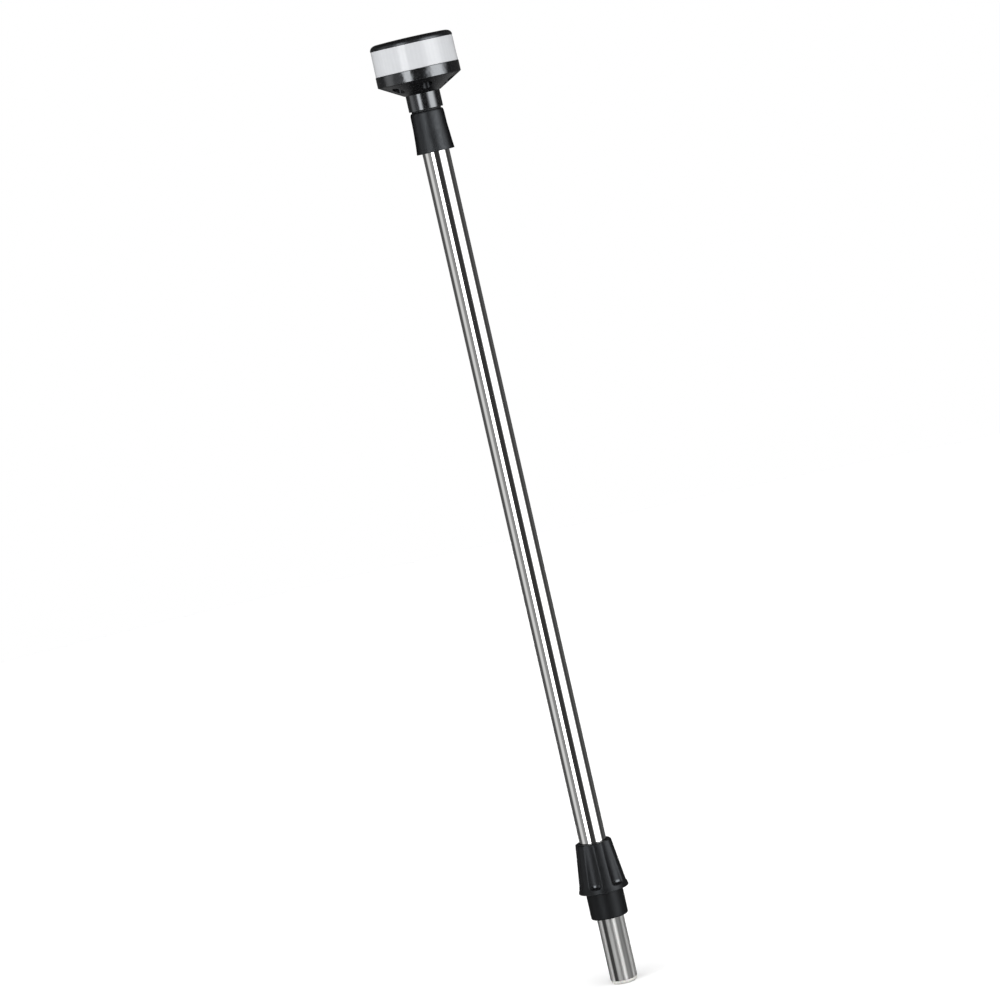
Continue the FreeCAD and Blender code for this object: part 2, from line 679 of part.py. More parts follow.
def flute_cutter():
    """Bull-nosed scoop on +X. It leans outwards and widens upwards, so each flute grows shallower and broader."""
    foot_r, foot_depth = 8.0, 2.1
    top_r, top_depth = 12.0, 1.1
    nose_r = 2.2
    over = 4.0                                  # runs on past the collar's top
    foot_x = COLLAR_WAIST_R + 0.1 + foot_r - foot_depth
    foot_z = Z_DECK + 5.5
    top_x = COLLAR_TOP_R + top_r - top_depth
    length = math.hypot(top_x - foot_x, Z_COLLAR_TOP - foot_z)
    lean = math.degrees(math.atan2(top_x - foot_x, Z_COLLAR_TOP - foot_z))
    widening = (top_r - foot_r) / length
    slant = nose_r * math.sin(math.pi / 4)
    scoop = turned(
        (0, -nose_r),
        (foot_r - nose_r, -nose_r),
        (foot_r, 0, foot_r - nose_r + slant, -slant),
        (top_r + over * widening, length + over),
        (0, length + over),
    )
    scoop.rotate(Vector(0, 0, 0), Vector(0, 1, 0), lean)
    scoop.translate(Vector(foot_x, 0, foot_z))
    return scoop


def bayonet_lug():
    """One lug of the collar's mouth, centred on +X."""
    body = Part.makeCylinder(MOUTH_R + 0.5, LUG_HEIGHT, Vector(0, 0, Z_DECK + 0.3), Vector(0, 0, 1), LUG_SPAN)
    return turn(body, -LUG_SPAN / 2).cut(disc(LUG_R, Z_DECK - 1, Z_DECK + MOUTH_DEPTH))


def locking_collar():
    """Hand-turned collar. It drops over the deck fitting's lip, and its lugs hook under the fitting's ramps."""
    washer_top = Z_SLEEVE_TOP + WASHER_THICK
    groove_r = WASHER_R + 0.15
    mouth_top = Z_DECK + MOUTH_DEPTH
    pocket_top = Z_DECK + SHOULDER_POCKET_DEPTH
    body = turned(
        (MOUTH_R, Z_DECK),
        (COLLAR_FOOT_R - 0.4, Z_DECK),
        (COLLAR_FOOT_R, Z_DECK + 0.7, COLLAR_FOOT_R - 0.08, Z_DECK + 0.25),
        (COLLAR_WAIST_R, Z_DECK + 7.5, COLLAR_WAIST_R + 0.52, Z_DECK + 3.9),
        (COLLAR_TOP_R, Z_COLLAR_TOP - 1.6),
        (COLLAR_TOP_R - 1.3, Z_COLLAR_TOP, COLLAR_TOP_R - 0.25, Z_COLLAR_TOP - 0.5),
        (COLLAR_BORE_R + 0.5, Z_COLLAR_TOP),
        (COLLAR_BORE_R, Z_COLLAR_TOP - 0.5),
        (COLLAR_BORE_R, washer_top),
        (groove_r, washer_top),
        (groove_r, Z_SLEEVE_TOP - 0.1),
        (COLLAR_WELL_R, Z_SLEEVE_TOP - 0.4),
        (COLLAR_WELL_R, pocket_top),
        (SHOULDER_POCKET_R, pocket_top),
        (SHOULDER_POCKET_R, mouth_top),
        (MOUTH_R, mouth_top),
    )
    body = body.cut(around(flute_cutter(), FLUTES, FLUTE_PHASE))
    body = body.fuse(around(bayonet_lug(), LUGS, FLUTE_PHASE + 30))
    return body.removeSplitter()


PIECES = [
    pole_tube, tube_adapter, adapter_rivets, adapter_seal, neck_gasket, rubber_boot,
    head_housing, housing_seal, bezel_ring, head_screws, lens, lens_seal, top_cap, cap_seal,
    side_emitter, heat_spreader, led_board, led_emitters, board_components, solder_pads, board_screws,
    cable_grommet, cable_jacket, wire_positive, wire_negative, cable_foam, cable_tie,
    contact_plug, contact_sockets, heat_shrinks, plug_sleeve, sleeve_rivets, sleeve_seal, retaining_ring,
    thrust_washer, locking_collar,
]


def main():
    os.makedirs(OUT, exist_ok=True)
    for piece in PIECES:
        made = piece()
        shape = Part.makeCompound(made) if isinstance(made, list) else made
        solids = shape.Solids
        if not solids or not all(s.isValid() and s.isClosed() and s.Volume > 0 for s in solids):
            raise ValueError(f"{piece.__name__} is not a set of closed solids")
        shape = solids[0] if len(solids) == 1 else Part.makeCompound(solids)
        shape.exportStep(os.path.join(OUT, piece.__name__ + ".step"))
        print(piece.__name__, len(solids), round(shape.Volume, 1))


main()
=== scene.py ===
"""Plug-in all-round navigation light: its visible pieces, their finishes, and the studio round them.

Outlines are in millimetres, (r, z) pairs turned about the pole's axis. Levels and radii come from the frame's
own boxes, so each piece stands where its solid does. Pieces inside keep their solids and only get a finish.
"""

import json
import math

import bmesh
import bpy
import numpy as np
from mathutils import Matrix, Vector, noise

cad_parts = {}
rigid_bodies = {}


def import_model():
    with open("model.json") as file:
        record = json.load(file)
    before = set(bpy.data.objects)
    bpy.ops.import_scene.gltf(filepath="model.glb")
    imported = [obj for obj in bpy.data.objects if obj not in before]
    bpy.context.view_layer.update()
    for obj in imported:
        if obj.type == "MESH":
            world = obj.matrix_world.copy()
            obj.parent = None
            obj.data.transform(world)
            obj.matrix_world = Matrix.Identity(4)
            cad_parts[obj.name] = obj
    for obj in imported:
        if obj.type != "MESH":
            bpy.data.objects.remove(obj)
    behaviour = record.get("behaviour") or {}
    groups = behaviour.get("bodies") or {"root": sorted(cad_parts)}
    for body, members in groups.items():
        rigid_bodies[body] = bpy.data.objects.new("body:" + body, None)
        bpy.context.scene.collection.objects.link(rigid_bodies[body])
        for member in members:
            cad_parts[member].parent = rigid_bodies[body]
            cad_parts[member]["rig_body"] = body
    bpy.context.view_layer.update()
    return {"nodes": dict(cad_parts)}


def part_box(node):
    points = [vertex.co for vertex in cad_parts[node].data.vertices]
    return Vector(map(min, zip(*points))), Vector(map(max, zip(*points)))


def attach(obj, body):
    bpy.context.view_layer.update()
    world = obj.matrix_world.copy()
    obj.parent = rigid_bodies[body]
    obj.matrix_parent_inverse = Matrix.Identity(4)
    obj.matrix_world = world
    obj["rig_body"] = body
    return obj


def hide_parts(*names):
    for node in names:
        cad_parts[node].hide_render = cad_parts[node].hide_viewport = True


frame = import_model()

MM = 0.001
TURNS = 192                 # steps round an ordinary turned piece
FINE_TURNS = 384            # steps round the pieces with ribs, flutes or mirror finish


# ---------------------------------------------------------------- levels and radii, from the frame
def foot(node):
    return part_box(node)[0][2] / MM


def top(node):
    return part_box(node)[1][2] / MM


def reach_y(node):
    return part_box(node)[1][1] / MM


def foot_x(node):
    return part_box(node)[0][0] / MM


def middle(node):
    return (foot(node) + top(node)) / 2


def reach(node):
    """How far a node reaches along +X, which is its radius if it is round."""
    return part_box(node)[1][0] / MM


TUBE_R = reach("pole_tube")
BORE_R = reach("cable_foam") + 0.05
SLEEVE_R = reach("plug_sleeve")
DECK_Z = foot("locking_collar")
SLEEVE_Z = foot("plug_sleeve")
SLEEVE_TOP_Z = top("plug_sleeve")
COLLAR_TOP_Z = top("locking_collar")
BOOT_Z = foot("rubber_boot")
BOOT_TOP_Z = top("rubber_boot")
NECK_Z = foot("head_housing")
FLANGE_Z = top("head_housing")
BEZEL_Z = foot("bezel_ring")
CAP_TOP_Z = top("top_cap")
CAP_R = reach("top_cap")
BEZEL_R = reach("bezel_ring")
NECK_HEIGHT = 11.5
BEZEL_HEIGHT = 7.7
CAP_HEIGHT = 4.6
CONE_Z = NECK_Z + NECK_HEIGHT
LENS_Z = BEZEL_Z + BEZEL_HEIGHT
CAP_Z = CAP_TOP_Z - CAP_HEIGHT
SLIP = 0.02                 # radial clearance of pieces pushed together
RIVET_R = 1.6


# ---------------------------------------------------------------- mesh tools
def softened(outline, closed=True, steps=5):
    """The outline with its marked corners rounded. A corner is (r, z) or (r, z, rounding radius)."""
    points = []
    count = len(outline)
    for i, corner in enumerate(outline):
        here = Vector(corner[:2])
        inner = closed or 0 < i < count - 1
        if len(corner) < 3 or not inner:
            points.append(here)
            continue
        radius = corner[2]
        back = (Vector(outline[i - 1][:2]) - here).normalized()
        ahead = (Vector(outline[(i + 1) % count][:2]) - here).normalized()
        half = back.angle(ahead) / 2
        centre = here + (back + ahead).normalized() * (radius / math.sin(half))
        start = here + back * (radius / math.tan(half)) - centre
        end = here + ahead * (radius / math.tan(half)) - centre
        sweep = start.angle_signed(end)
        for step in range(steps + 1):
            turned = start.copy()
            turned.rotate(Matrix.Rotation(-sweep * step / steps, 2))
            points.append(centre + turned)
    return points


def curve_points(start, via, end, steps):
    """Points along a smooth curve from start to end that passes through via half way, without the start."""
    start, via, end = Vector(start), Vector(via), Vector(end)
    pull = via * 2 - (start + end) / 2
    return [
        tuple(start * (1 - t) ** 2 + pull * 2 * t * (1 - t) + end * t * t)
        for t in (i / steps for i in range(1, steps + 1))
    ]


def skin(name, rows, closed=True):
    """A mesh over rows of points round the axis. A row of one point lies on the axis and closes the skin."""
    mesh = bmesh.new()
    made = [[mesh.verts.new(Vector(point) * MM) for point in row] for row in rows]
    pairs = list(zip(made, made[1:]))
    if closed:
        pairs.append((made[-1], made[0]))
    for lower, upper in pairs:
        count = max(len(lower), len(upper))
        for i in range(count):
            j = (i + 1) % count
            below = [lower[i % len(lower)], lower[j % len(lower)]]
            above = [upper[j % len(upper)], upper[i % len(upper)]]
            corners = list(dict.fromkeys(below + above))
            if len(corners) > 2:
                mesh.faces.new(corners)
    bmesh.ops.recalc_face_normals(mesh, faces=mesh.faces)
    data = bpy.data.meshes.new(name)
    mesh.to_mesh(data)
    mesh.free()
    piece = bpy.data.objects.new(name, data)
    bpy.context.scene.collection.objects.link(piece)
    return piece


def circle_row(r, z, turns):
    if r < 1e-6:
        return [(0, 0, z)]
    return [
        (r * math.cos(2 * math.pi * i / turns), r * math.sin(2 * math.pi * i / turns), z)
        for i in range(turns)
    ]


def lathe(name, outline, turns=TURNS, closed=True):
    """A turned piece. An outline that starts and ends on the axis isn't closed, as it needs no joining."""
    points = softened(outline, closed)
    return skin(name, [circle_row(r, z, turns) for r, z in points], closed)


def settle(piece, sharp=35.0):
    """Smooth shading, with real corners kept crisp and flat faces kept flat."""
    data = piece.data
    data.polygons.foreach_set("use_smooth", [True] * len(data.polygons))
    data.set_sharp_from_angle(angle=math.radians(sharp))
    even = piece.modifiers.new("even_normals", "WEIGHTED_NORMAL")
    even.keep_sharp = True
    return piece


def rod(radius, start, end, turns=64):
    """A plain round cutter between two points, for carving holes."""
    start, end = Vector(start), Vector(end)
    along = end - start
    data = bpy.data.meshes.new("rod")
    mesh = bmesh.new()
    place = Matrix.Translation((start + end) / 2 * MM) @ along.to_track_quat("Z", "Y").to_matrix().to_4x4()
    bmesh.ops.create_cone(
        mesh, cap_ends=True, segments=turns, radius1=radius * MM, radius2=radius * MM,
        depth=along.length * MM, matrix=place,
    )
    mesh.to_mesh(data)
    mesh.free()
    cutter = bpy.data.objects.new("rod", data)
    bpy.context.scene.collection.objects.link(cutter)
    return cutter


def bar(centre, size):
    """A plain rectangular cutter."""
    data = bpy.data.meshes.new("bar")
    mesh = bmesh.new()
    place = Matrix.Translation(Vector(centre) * MM) @ Matrix.Diagonal((*(Vector(size) * MM), 1))
    bmesh.ops.create_cube(mesh, size=1.0, matrix=place)
    mesh.to_mesh(data)
    mesh.free()
    cutter = bpy.data.objects.new("bar", data)
    bpy.context.scene.collection.objects.link(cutter)
    return cutter


def carve(piece, cutters, operation="DIFFERENCE"):
    """Cuts every cutter out of a piece, or joins it on, and removes the cutter."""
    for cutter in cutters:
        step = piece.modifiers.new("carve", "BOOLEAN")
        step.object = cutter
        step.operation = operation
        step.solver = "EXACT"
        bpy.context.view_layer.update()
        shaped = bpy.data.meshes.new_from_object(piece.evaluated_get(bpy.context.evaluated_depsgraph_get()))
        piece.modifiers.clear()
        shaped.name = piece.name
        piece.data = shaped
        bpy.data.objects.remove(cutter)
    return piece


def bevel_edges(piece, wanted, width, segments=3):
    """Rounds the edges whose two ends both satisfy wanted(point in mm)."""
    mesh = bmesh.new()
    mesh.from_mesh(piece.data)
    bmesh.ops.dissolve_degenerate(mesh, dist=1e-6, edges=mesh.edges)
    edges = [
        e for e in mesh.edges
        if len(e.link_faces) == 2
        and e.calc_face_angle(0) > math.radians(25)
        and all(wanted(v.co / MM) for v in e.verts)
    ]
    bmesh.ops.bevel(mesh, geom=edges, offset=width * MM, segments=segments, profile=0.5, affect="EDGES",
                    clamp_overlap=True)
    mesh.to_mesh(piece.data)
    mesh.free()
    return piece


def around(count, phase, r):
    """(x, y) of points spread evenly round the axis."""
    angles = [math.radians(phase + 360.0 * i / count) for i in range(count)]
    return [(r * math.cos(a), r * math.sin(a)) for a in angles]


def join_copies(name, original, matrices):
    """One object holding a copy of the original at each matrix."""
    mesh = bmesh.new()
    for matrix in matrices:
        copy = original.data.copy()
        copy.transform(matrix)
        mesh.from_mesh(copy)
        bpy.data.meshes.remove(copy)
    data = bpy.data.meshes.new(name)
    mesh.to_mesh(data)
    mesh.free()
    bpy.data.objects.remove(original)
    piece = bpy.data.objects.new(name, data)
    bpy.context.scene.collection.objects.link(piece)
    return piece


# ---------------------------------------------------------------- pole
RING_GROOVE_DEPTH, RING_GROOVE_HEIGHT = 0.6, 1.2


def make_tube():
    foot_z, top_z = foot("pole_tube"), top("pole_tube")
    groove_r, groove_top = TUBE_R - RING_GROOVE_DEPTH, SLEEVE_Z + RING_GROOVE_HEIGHT
    tube = lathe(
        "tube_body",
        [
            (BORE_R, foot_z, 0.15),
            (TUBE_R, foot_z, 0.35),
            (TUBE_R, SLEEVE_Z),
            (groove_r, SLEEVE_Z),
            (groove_r, groove_top),
            (TUBE_R, groove_top),
            (TUBE_R, (SLEEVE_TOP_Z + COLLAR_TOP_Z) / 2),        # these two keep the odd faces round the
            (TUBE_R, BOOT_Z),                                   # rivet holes under the collar and the boot
            (TUBE_R, top_z, 0.3),
            (BORE_R, top_z, 0.15),
        ],
        FINE_TURNS,
    )
    adapter_z, sleeve_z = middle("adapter_rivets"), middle("sleeve_rivets")
    hole_r, far = RIVET_R + SLIP, TUBE_R + 2
    return carve(tube, [
        rod(hole_r, (-far, 0, adapter_z), (far, 0, adapter_z)),
        rod(hole_r, (0, -far, sleeve_z), (0, far, sleeve_z)),
    ])


def make_boot():
    """Rubber cover whose skin is very slightly uneven, as soft mouldings are."""
    ripple_depth, ripples_per_mm = 0.07, 0.18
    bore, lead_in = TUBE_R + SLIP, 0.5
    foot_r = reach("rubber_boot")
    side = [(foot_r, BOOT_Z + 0.4)]
    side += curve_points(side[-1], (12.62, BOOT_Z + 8.6), (12.1, BOOT_TOP_Z - 11.0), 14)
    side += curve_points(side[-1], (12.02, BOOT_TOP_Z - 7.4), (11.95, BOOT_TOP_Z - 3.6), 6)
    side += curve_points(side[-1], (11.7, BOOT_TOP_Z - 1.15), (10.9, BOOT_TOP_Z), 8)
    outline = [(bore + lead_in, BOOT_Z), (foot_r - 0.4, BOOT_Z), (foot_r - 0.12, BOOT_Z + 0.12)]
    outline += side
    outline += [(bore, BOOT_TOP_Z), (bore, BOOT_Z + lead_in)]

    def rippled(x, y, z):
        """The point, moved in or out a little if it is on the outside."""
        r = math.hypot(x, y)
        if r < bore + lead_in + 0.1:
            return x, y, z
        wave = noise.noise(Vector((x, y, z * 0.7)) * ripples_per_mm)
        keep = 1 + (2 * wave - 1) * ripple_depth / r
        return x * keep, y * keep, z

    rows = [[rippled(*point) for point in circle_row(r, z, TURNS)] for r, z in outline]
    return skin("boot_cover", rows)


# ---------------------------------------------------------------- head
SCREWS, SCREW_PHASE, SCREW_CIRCLE_R = 6, 41.0, 21.0
BOARD_SCREWS, BOARD_SCREW_PHASE, BOARD_SCREW_R = 3, 90.0, 12.6
NECK_R = 12.0
CONE_FOOT_R = 12.4
FLANGE_R = 26.6             # housing flange that locates the bezel ring
LEDGE_Z = FLANGE_Z + 2.6    # top of the bezel ring's inner ledge
POCKET_R = 4.0              # pockets in the cone for the head screws
SPIGOT_BORE_R = 8.05
SEAT_R = 16.4               # heat spreader's seat in the housing
LENS_RIBS = 60


def make_housing():
    shelf_r, floor_z = SEAT_R - 2.0, CONE_Z + 2.6
    spreader_z, pocket_z = FLANGE_Z - 1.0, BEZEL_Z - 0.3
    post_r, through_r, tapped_r = 2.6, 1.7, 1.05
    housing = lathe(
        "housing_shell",
        [
            (SPIGOT_BORE_R, NECK_Z, 0.2),
            (NECK_R, NECK_Z, 0.45),
            (NECK_R, CONE_Z, 0.25),
            (CONE_FOOT_R + 0.35, CONE_Z + 0.05, 0.25),
            (CAP_R, BEZEL_Z, 0.12),
            (FLANGE_R, BEZEL_Z),
            (FLANGE_R, FLANGE_Z, 0.2),
            (SEAT_R, FLANGE_Z, 0.2),
            (SEAT_R, spreader_z),
            (shelf_r, spreader_z),
            (shelf_r, floor_z + 2.6, 0.5),
            (10.2, floor_z, 0.5),
            (SPIGOT_BORE_R, floor_z),
        ],
        FINE_TURNS,
    )
    board_spots = around(BOARD_SCREWS, BOARD_SCREW_PHASE, BOARD_SCREW_R)
    posts = [rod(post_r, (x, y, floor_z + 0.8), (x, y, spreader_z)) for x, y in board_spots]
    carve(housing, posts, "UNION")
    taps = [rod(tapped_r, (x, y, spreader_z - 5), (x, y, spreader_z + 1)) for x, y in board_spots]
    spots = around(SCREWS, SCREW_PHASE, SCREW_CIRCLE_R)
    pockets = [rod(POCKET_R, (x, y, CONE_Z - 2), (x, y, pocket_z), 96) for x, y in spots]
    holes = [rod(through_r, (x, y, CONE_Z - 2), (x, y, FLANGE_Z + 1)) for x, y in spots]
    carve(housing, taps + pockets + holes)

    def on_pocket_rim(p):
        from_pocket = min(math.hypot(p.x - x, p.y - y) for x, y in spots)
        return abs(from_pocket - POCKET_R) < 0.05 and p.z < pocket_z - 0.05

    return bevel_edges(housing, on_pocket_rim, 0.28)


def make_bezel():
    fit_r, lens_fit_r = FLANGE_R + SLIP, reach("lens_seal") + 0.37
    ledge_r = 17.5
    boss_r, tapped_r, boss_z = 3.2, 1.5, LEDGE_Z + 2.6
    bezel = lathe(
        "bezel_band",
        [
            (fit_r, BEZEL_Z),
            (BEZEL_R, BEZEL_Z, 0.4),
            (BEZEL_R, LENS_Z, 0.35),
            (lens_fit_r, LENS_Z, 0.08),
            (lens_fit_r, LEDGE_Z),
            (ledge_r, LEDGE_Z, 0.3),
            (ledge_r, FLANGE_Z, 0.3),
            (fit_r, FLANGE_Z),
        ],
        FINE_TURNS,
    )
    spots = around(SCREWS, SCREW_PHASE, SCREW_CIRCLE_R)
    bosses = [rod(boss_r, (x, y, LEDGE_Z - 0.5), (x, y, boss_z)) for x, y in spots]
    holes = [rod(tapped_r, (x, y, FLANGE_Z - 1), (x, y, boss_z - 1.0)) for x, y in spots]
    carve(bezel, bosses, "UNION")
    return carve(bezel, holes)


def make_lens():
    """Frosted band. Its inner wall is scooped into upright ribs."""
    scoop_r = 0.55
    turns = LENS_RIBS * 12
    half_pitch = math.pi / LENS_RIBS
    spigot_r, ribbed_r, plain_r = 27.6, 25.4, 26.2
    foot_z = foot("lens")
    bottom_r, top_r = reach("lens"), CAP_R - 0.1

    def ribbed(z, share=1.0):
        """A row of the inner wall, with the scoops cut to this share of their depth."""
        row = []
        for i in range(turns):
            angle = 2 * math.pi * i / turns
            off = (angle + half_pitch) % (2 * half_pitch) - half_pitch
            across = off * ribbed_r
            scoop = math.sqrt(max(scoop_r ** 2 - across ** 2, 0.0)) * share
            row.append(((ribbed_r + scoop) * math.cos(angle), (ribbed_r + scoop) * math.sin(angle), z))
        return row

    outside = softened(
        [
            (ribbed_r, foot_z),
            (spigot_r, foot_z, 0.15),
            (spigot_r, LENS_Z),
            (bottom_r, LENS_Z, 0.3),
            (top_r, CAP_Z, 0.12),
            (plain_r, CAP_Z),
            (plain_r, CAP_Z - 3.0),
            (ribbed_r, CAP_Z - 4.2),
        ],
        closed=False,
    )
    rows = [circle_row(r, z, turns) for r, z in outside]
    rows += [
        ribbed(CAP_Z - 4.3, 0.0), ribbed(CAP_Z - 4.6, 0.7), ribbed(CAP_Z - 5.0), ribbed(LENS_Z + 0.6),
        ribbed(LENS_Z + 0.1, 0.7), ribbed(LENS_Z - 0.4, 0.0),
    ]
    return skin("lens_band", rows)


def make_cap():
    under_z = CAP_TOP_Z - 2.3
    spigot_r, spigot_z = 26.15, CAP_Z - 2.6
    groove_r, groove_z, groove_top = spigot_r - 1.0, CAP_Z - 2.1, CAP_Z - 0.7
    dome = [(0, CAP_TOP_Z)]
    dome += curve_points(dome[-1], (12.2, CAP_TOP_Z - 0.12), (24.3, CAP_TOP_Z - 0.48), 24)
    dome += curve_points(dome[-1], (27.45, CAP_TOP_Z - 1.5), (CAP_R, CAP_TOP_Z - 3.8), 20)
    outline = dome + [
        (CAP_R, CAP_Z, 0.2),
        (spigot_r, CAP_Z),
        (spigot_r, groove_top),
        (groove_r, groove_top),
        (groove_r, groove_z),
        (spigot_r, groove_z),
        (spigot_r, spigot_z, 0.2),
        (spigot_r - 2.2, spigot_z, 0.2),
        (spigot_r - 2.2, under_z, 0.6),
        (0, under_z),
    ]
    return lathe("cap_cover", outline, FINE_TURNS, closed=False)


def make_screws():
    """The head screws, with cross recesses, each left at its own angle."""
    head_r, shank_r, tip_r = 2.9, 1.46, 0.86
    face_z, tip_z = foot("head_screws"), top("head_screws")
    head_z = face_z + 2.1
    screw = lathe(
        "screw",
        [
            (0, face_z), (head_r, face_z, 0.9), (head_r, head_z, 0.1), (shank_r, head_z),
            (shank_r, tip_z - 0.7), (tip_r, tip_z), (0, tip_z),
        ],
        64,
        closed=False,
    )
    recess, slot, deep = 3.2, 0.8, 1.3
    recess_at = (0, 0, face_z + 0.5)
    carve(screw, [bar(recess_at, (recess, slot, deep)), bar(recess_at, (slot, recess, deep))])
    places = []
    for i, (x, y) in enumerate(around(SCREWS, SCREW_PHASE, SCREW_CIRCLE_R)):
        turned = Matrix.Rotation(math.radians(37 * i), 4, "Z")
        places.append(Matrix.Translation((x * MM, y * MM, 0)) @ turned)
    return join_copies("screw_set", screw, places)


def make_gasket():
    outer = NECK_R - 1.6
    z_low, z_high = foot("neck_gasket"), top("neck_gasket")
    return lathe("gasket_band", [
        (SPIGOT_BORE_R, z_low, 0.1), (outer, z_low, 0.25), (outer, z_high, 0.25), (SPIGOT_BORE_R, z_high, 0.1),
    ])


# ---------------------------------------------------------------- collar
FLUTES, FLUTE_PHASE = 6, 9.3
LUGS, LUG_SPAN = 3, 28.0                    # bayonet lugs inside the mouth, and degrees for each
COLLAR_TOP_R, COLLAR_WAIST_R = 13.1, 16.4   # the taper ends and the foot flares at the waist
MOUTH_R, MOUTH_DEPTH, LUG_R = 15.9, 2.9, 14.7
SHOULDER = 3.1                              # the sleeve steps in this far above the deck fitting's lip
SHOULDER_R = 11.6
SEAL_DEPTH, SEAL_LAND = 1.75, 2.4           # the sleeve's seal groove
WASHER_R, WASHER_THICK = 12.2, 2.0


def flute_distance(x, y, z):
    """How far points are outside a flute's scoop, which leans outwards and widens from a rounded nose."""
    foot_r, top_r, nose_r = 8.0, 12.0, 2.2
    foot_x, foot_z = COLLAR_WAIST_R + 0.1 + foot_r - 2.1, DECK_Z + 5.5
    top_x, top_z = COLLAR_TOP_R + top_r - 1.1, COLLAR_TOP_Z
    length = math.hypot(top_x - foot_x, top_z - foot_z)
    lean_x, lean_z = (top_x - foot_x) / length, (top_z - foot_z) / length
    along = (x - foot_x) * lean_x + (z - foot_z) * lean_z
    across = np.sqrt(((x - foot_x) * lean_z - (z - foot_z) * lean_x) ** 2 + y ** 2)
    slope = (top_r - foot_r) / length
    side = (across - foot_r - slope * along) / math.hypot(1, slope)
    nose = np.hypot(np.maximum(across - (foot_r - nose_r), 0), along) - nose_r
    return np.where(along > 0, side, nose)


def fluted_radius(outline_r, z, angles):
    """The collar's radius at one level for every angle: its outline, scooped by the nearest flute."""
    blend = 0.7
    pitch = 2 * math.pi / FLUTES
    off = (angles - math.radians(FLUTE_PHASE) + pitch / 2) % pitch - pitch / 2
    low = np.full_like(angles, outline_r - 4.0)
    high = np.full_like(angles, outline_r)
    for _ in range(24):
        middle = (low + high) / 2
        scoop = -flute_distance(middle * np.cos(off), middle * np.sin(off), z)
        body = middle - outline_r
        overlap = np.maximum(blend - np.abs(scoop - body), 0) / blend
        outside = np.maximum(scoop, body) + overlap ** 2 * blend / 4 > 0
        high = np.where(outside, middle, high)
        low = np.where(outside, low, middle)
    return (low + high) / 2


def make_collar():
    angles = np.arange(FINE_TURNS) * 2 * math.pi / FINE_TURNS
    foot_r = reach("locking_collar")
    side = [(foot_r - 0.4, DECK_Z), (foot_r - 0.16, DECK_Z + 0.12)]
    side += [(foot_r - 0.03, DECK_Z + 0.4), (foot_r, DECK_Z + 0.75)]
    side += curve_points(side[-1], (16.95, DECK_Z + 3.9), (COLLAR_WAIST_R, DECK_Z + 7.5), 26)
    side += curve_points(side[-1], (14.75, DECK_Z + 20.5), (COLLAR_TOP_R, COLLAR_TOP_Z - 1.6), 60)
    side += curve_points(side[-1], (12.85, COLLAR_TOP_Z - 0.45), (COLLAR_TOP_R - 1.3, COLLAR_TOP_Z), 10)

    def row(radii, z):
        return [(r * math.cos(a), r * math.sin(a), z) for r, a in zip(radii, angles)]

    rows = [row(fluted_radius(r, z, angles), z) for r, z in side]
    bore_r, well_r, washer_r = TUBE_R + 0.3, SHOULDER_R + 0.35, WASHER_R + 0.15
    washer_z, step_r, step_z = SLEEVE_TOP_Z, SLEEVE_R + 0.4, DECK_Z + SHOULDER + 0.3
    inside = softened(
        [
            (COLLAR_TOP_R - 2.0, COLLAR_TOP_Z),
            (bore_r, COLLAR_TOP_Z, 0.5),
            (bore_r, washer_z + WASHER_THICK),
            (washer_r, washer_z + WASHER_THICK),
            (washer_r, washer_z - 0.1),
            (well_r, washer_z - 0.4),
            (well_r, step_z),
            (step_r, step_z),
            (step_r, DECK_Z + MOUTH_DEPTH),
            (MOUTH_R, DECK_Z + MOUTH_DEPTH, 0.2),
        ],
        closed=False,
    )
    rows += [circle_row(r, z, FINE_TURNS) for r, z in inside]
    lug_pitch, lug_phase = 2 * math.pi / LUGS, math.radians(FLUTE_PHASE + 180 / FLUTES)
    off = np.abs((angles - lug_phase + lug_pitch / 2) % lug_pitch - lug_pitch / 2)
    lug_edge = np.clip((math.radians(LUG_SPAN / 2) - off) / math.radians(1.5) + 0.5, 0, 1)
    lug_r = MOUTH_R - (MOUTH_R - LUG_R) * lug_edge
    plain = np.full_like(angles, MOUTH_R)
    lug_z, lug_top_z, step = DECK_Z + 0.3, DECK_Z + 1.8, 0.01
    rows += [row(plain, lug_top_z + step), row(lug_r, lug_top_z), row(lug_r, lug_z), row(plain, lug_z - step)]
    rows.append(circle_row(MOUTH_R, DECK_Z + 0.1, FINE_TURNS))
    rows.append(circle_row(MOUTH_R + 0.1, DECK_Z, FINE_TURNS))
    collar = skin("collar_grip", rows)
    depth = collar.data.attributes.new("flute_depth", "FLOAT", "POINT")
    cut = [r - math.hypot(*point[:2]) for (r, _), level in zip(side, rows) for point in level]
    depth.data.foreach_set("value", cut + [0.0] * (len(collar.data.vertices) - len(cut)))
    return collar


def make_washer():
    inner = TUBE_R + 0.08
    z_low = foot("thrust_washer")
    z_high = z_low + WASHER_THICK
    return lathe("washer_ring", [
        (inner, z_low, 0.15), (WASHER_R, z_low, 0.2), (WASHER_R, z_high, 0.2), (inner, z_high, 0.15),
    ])


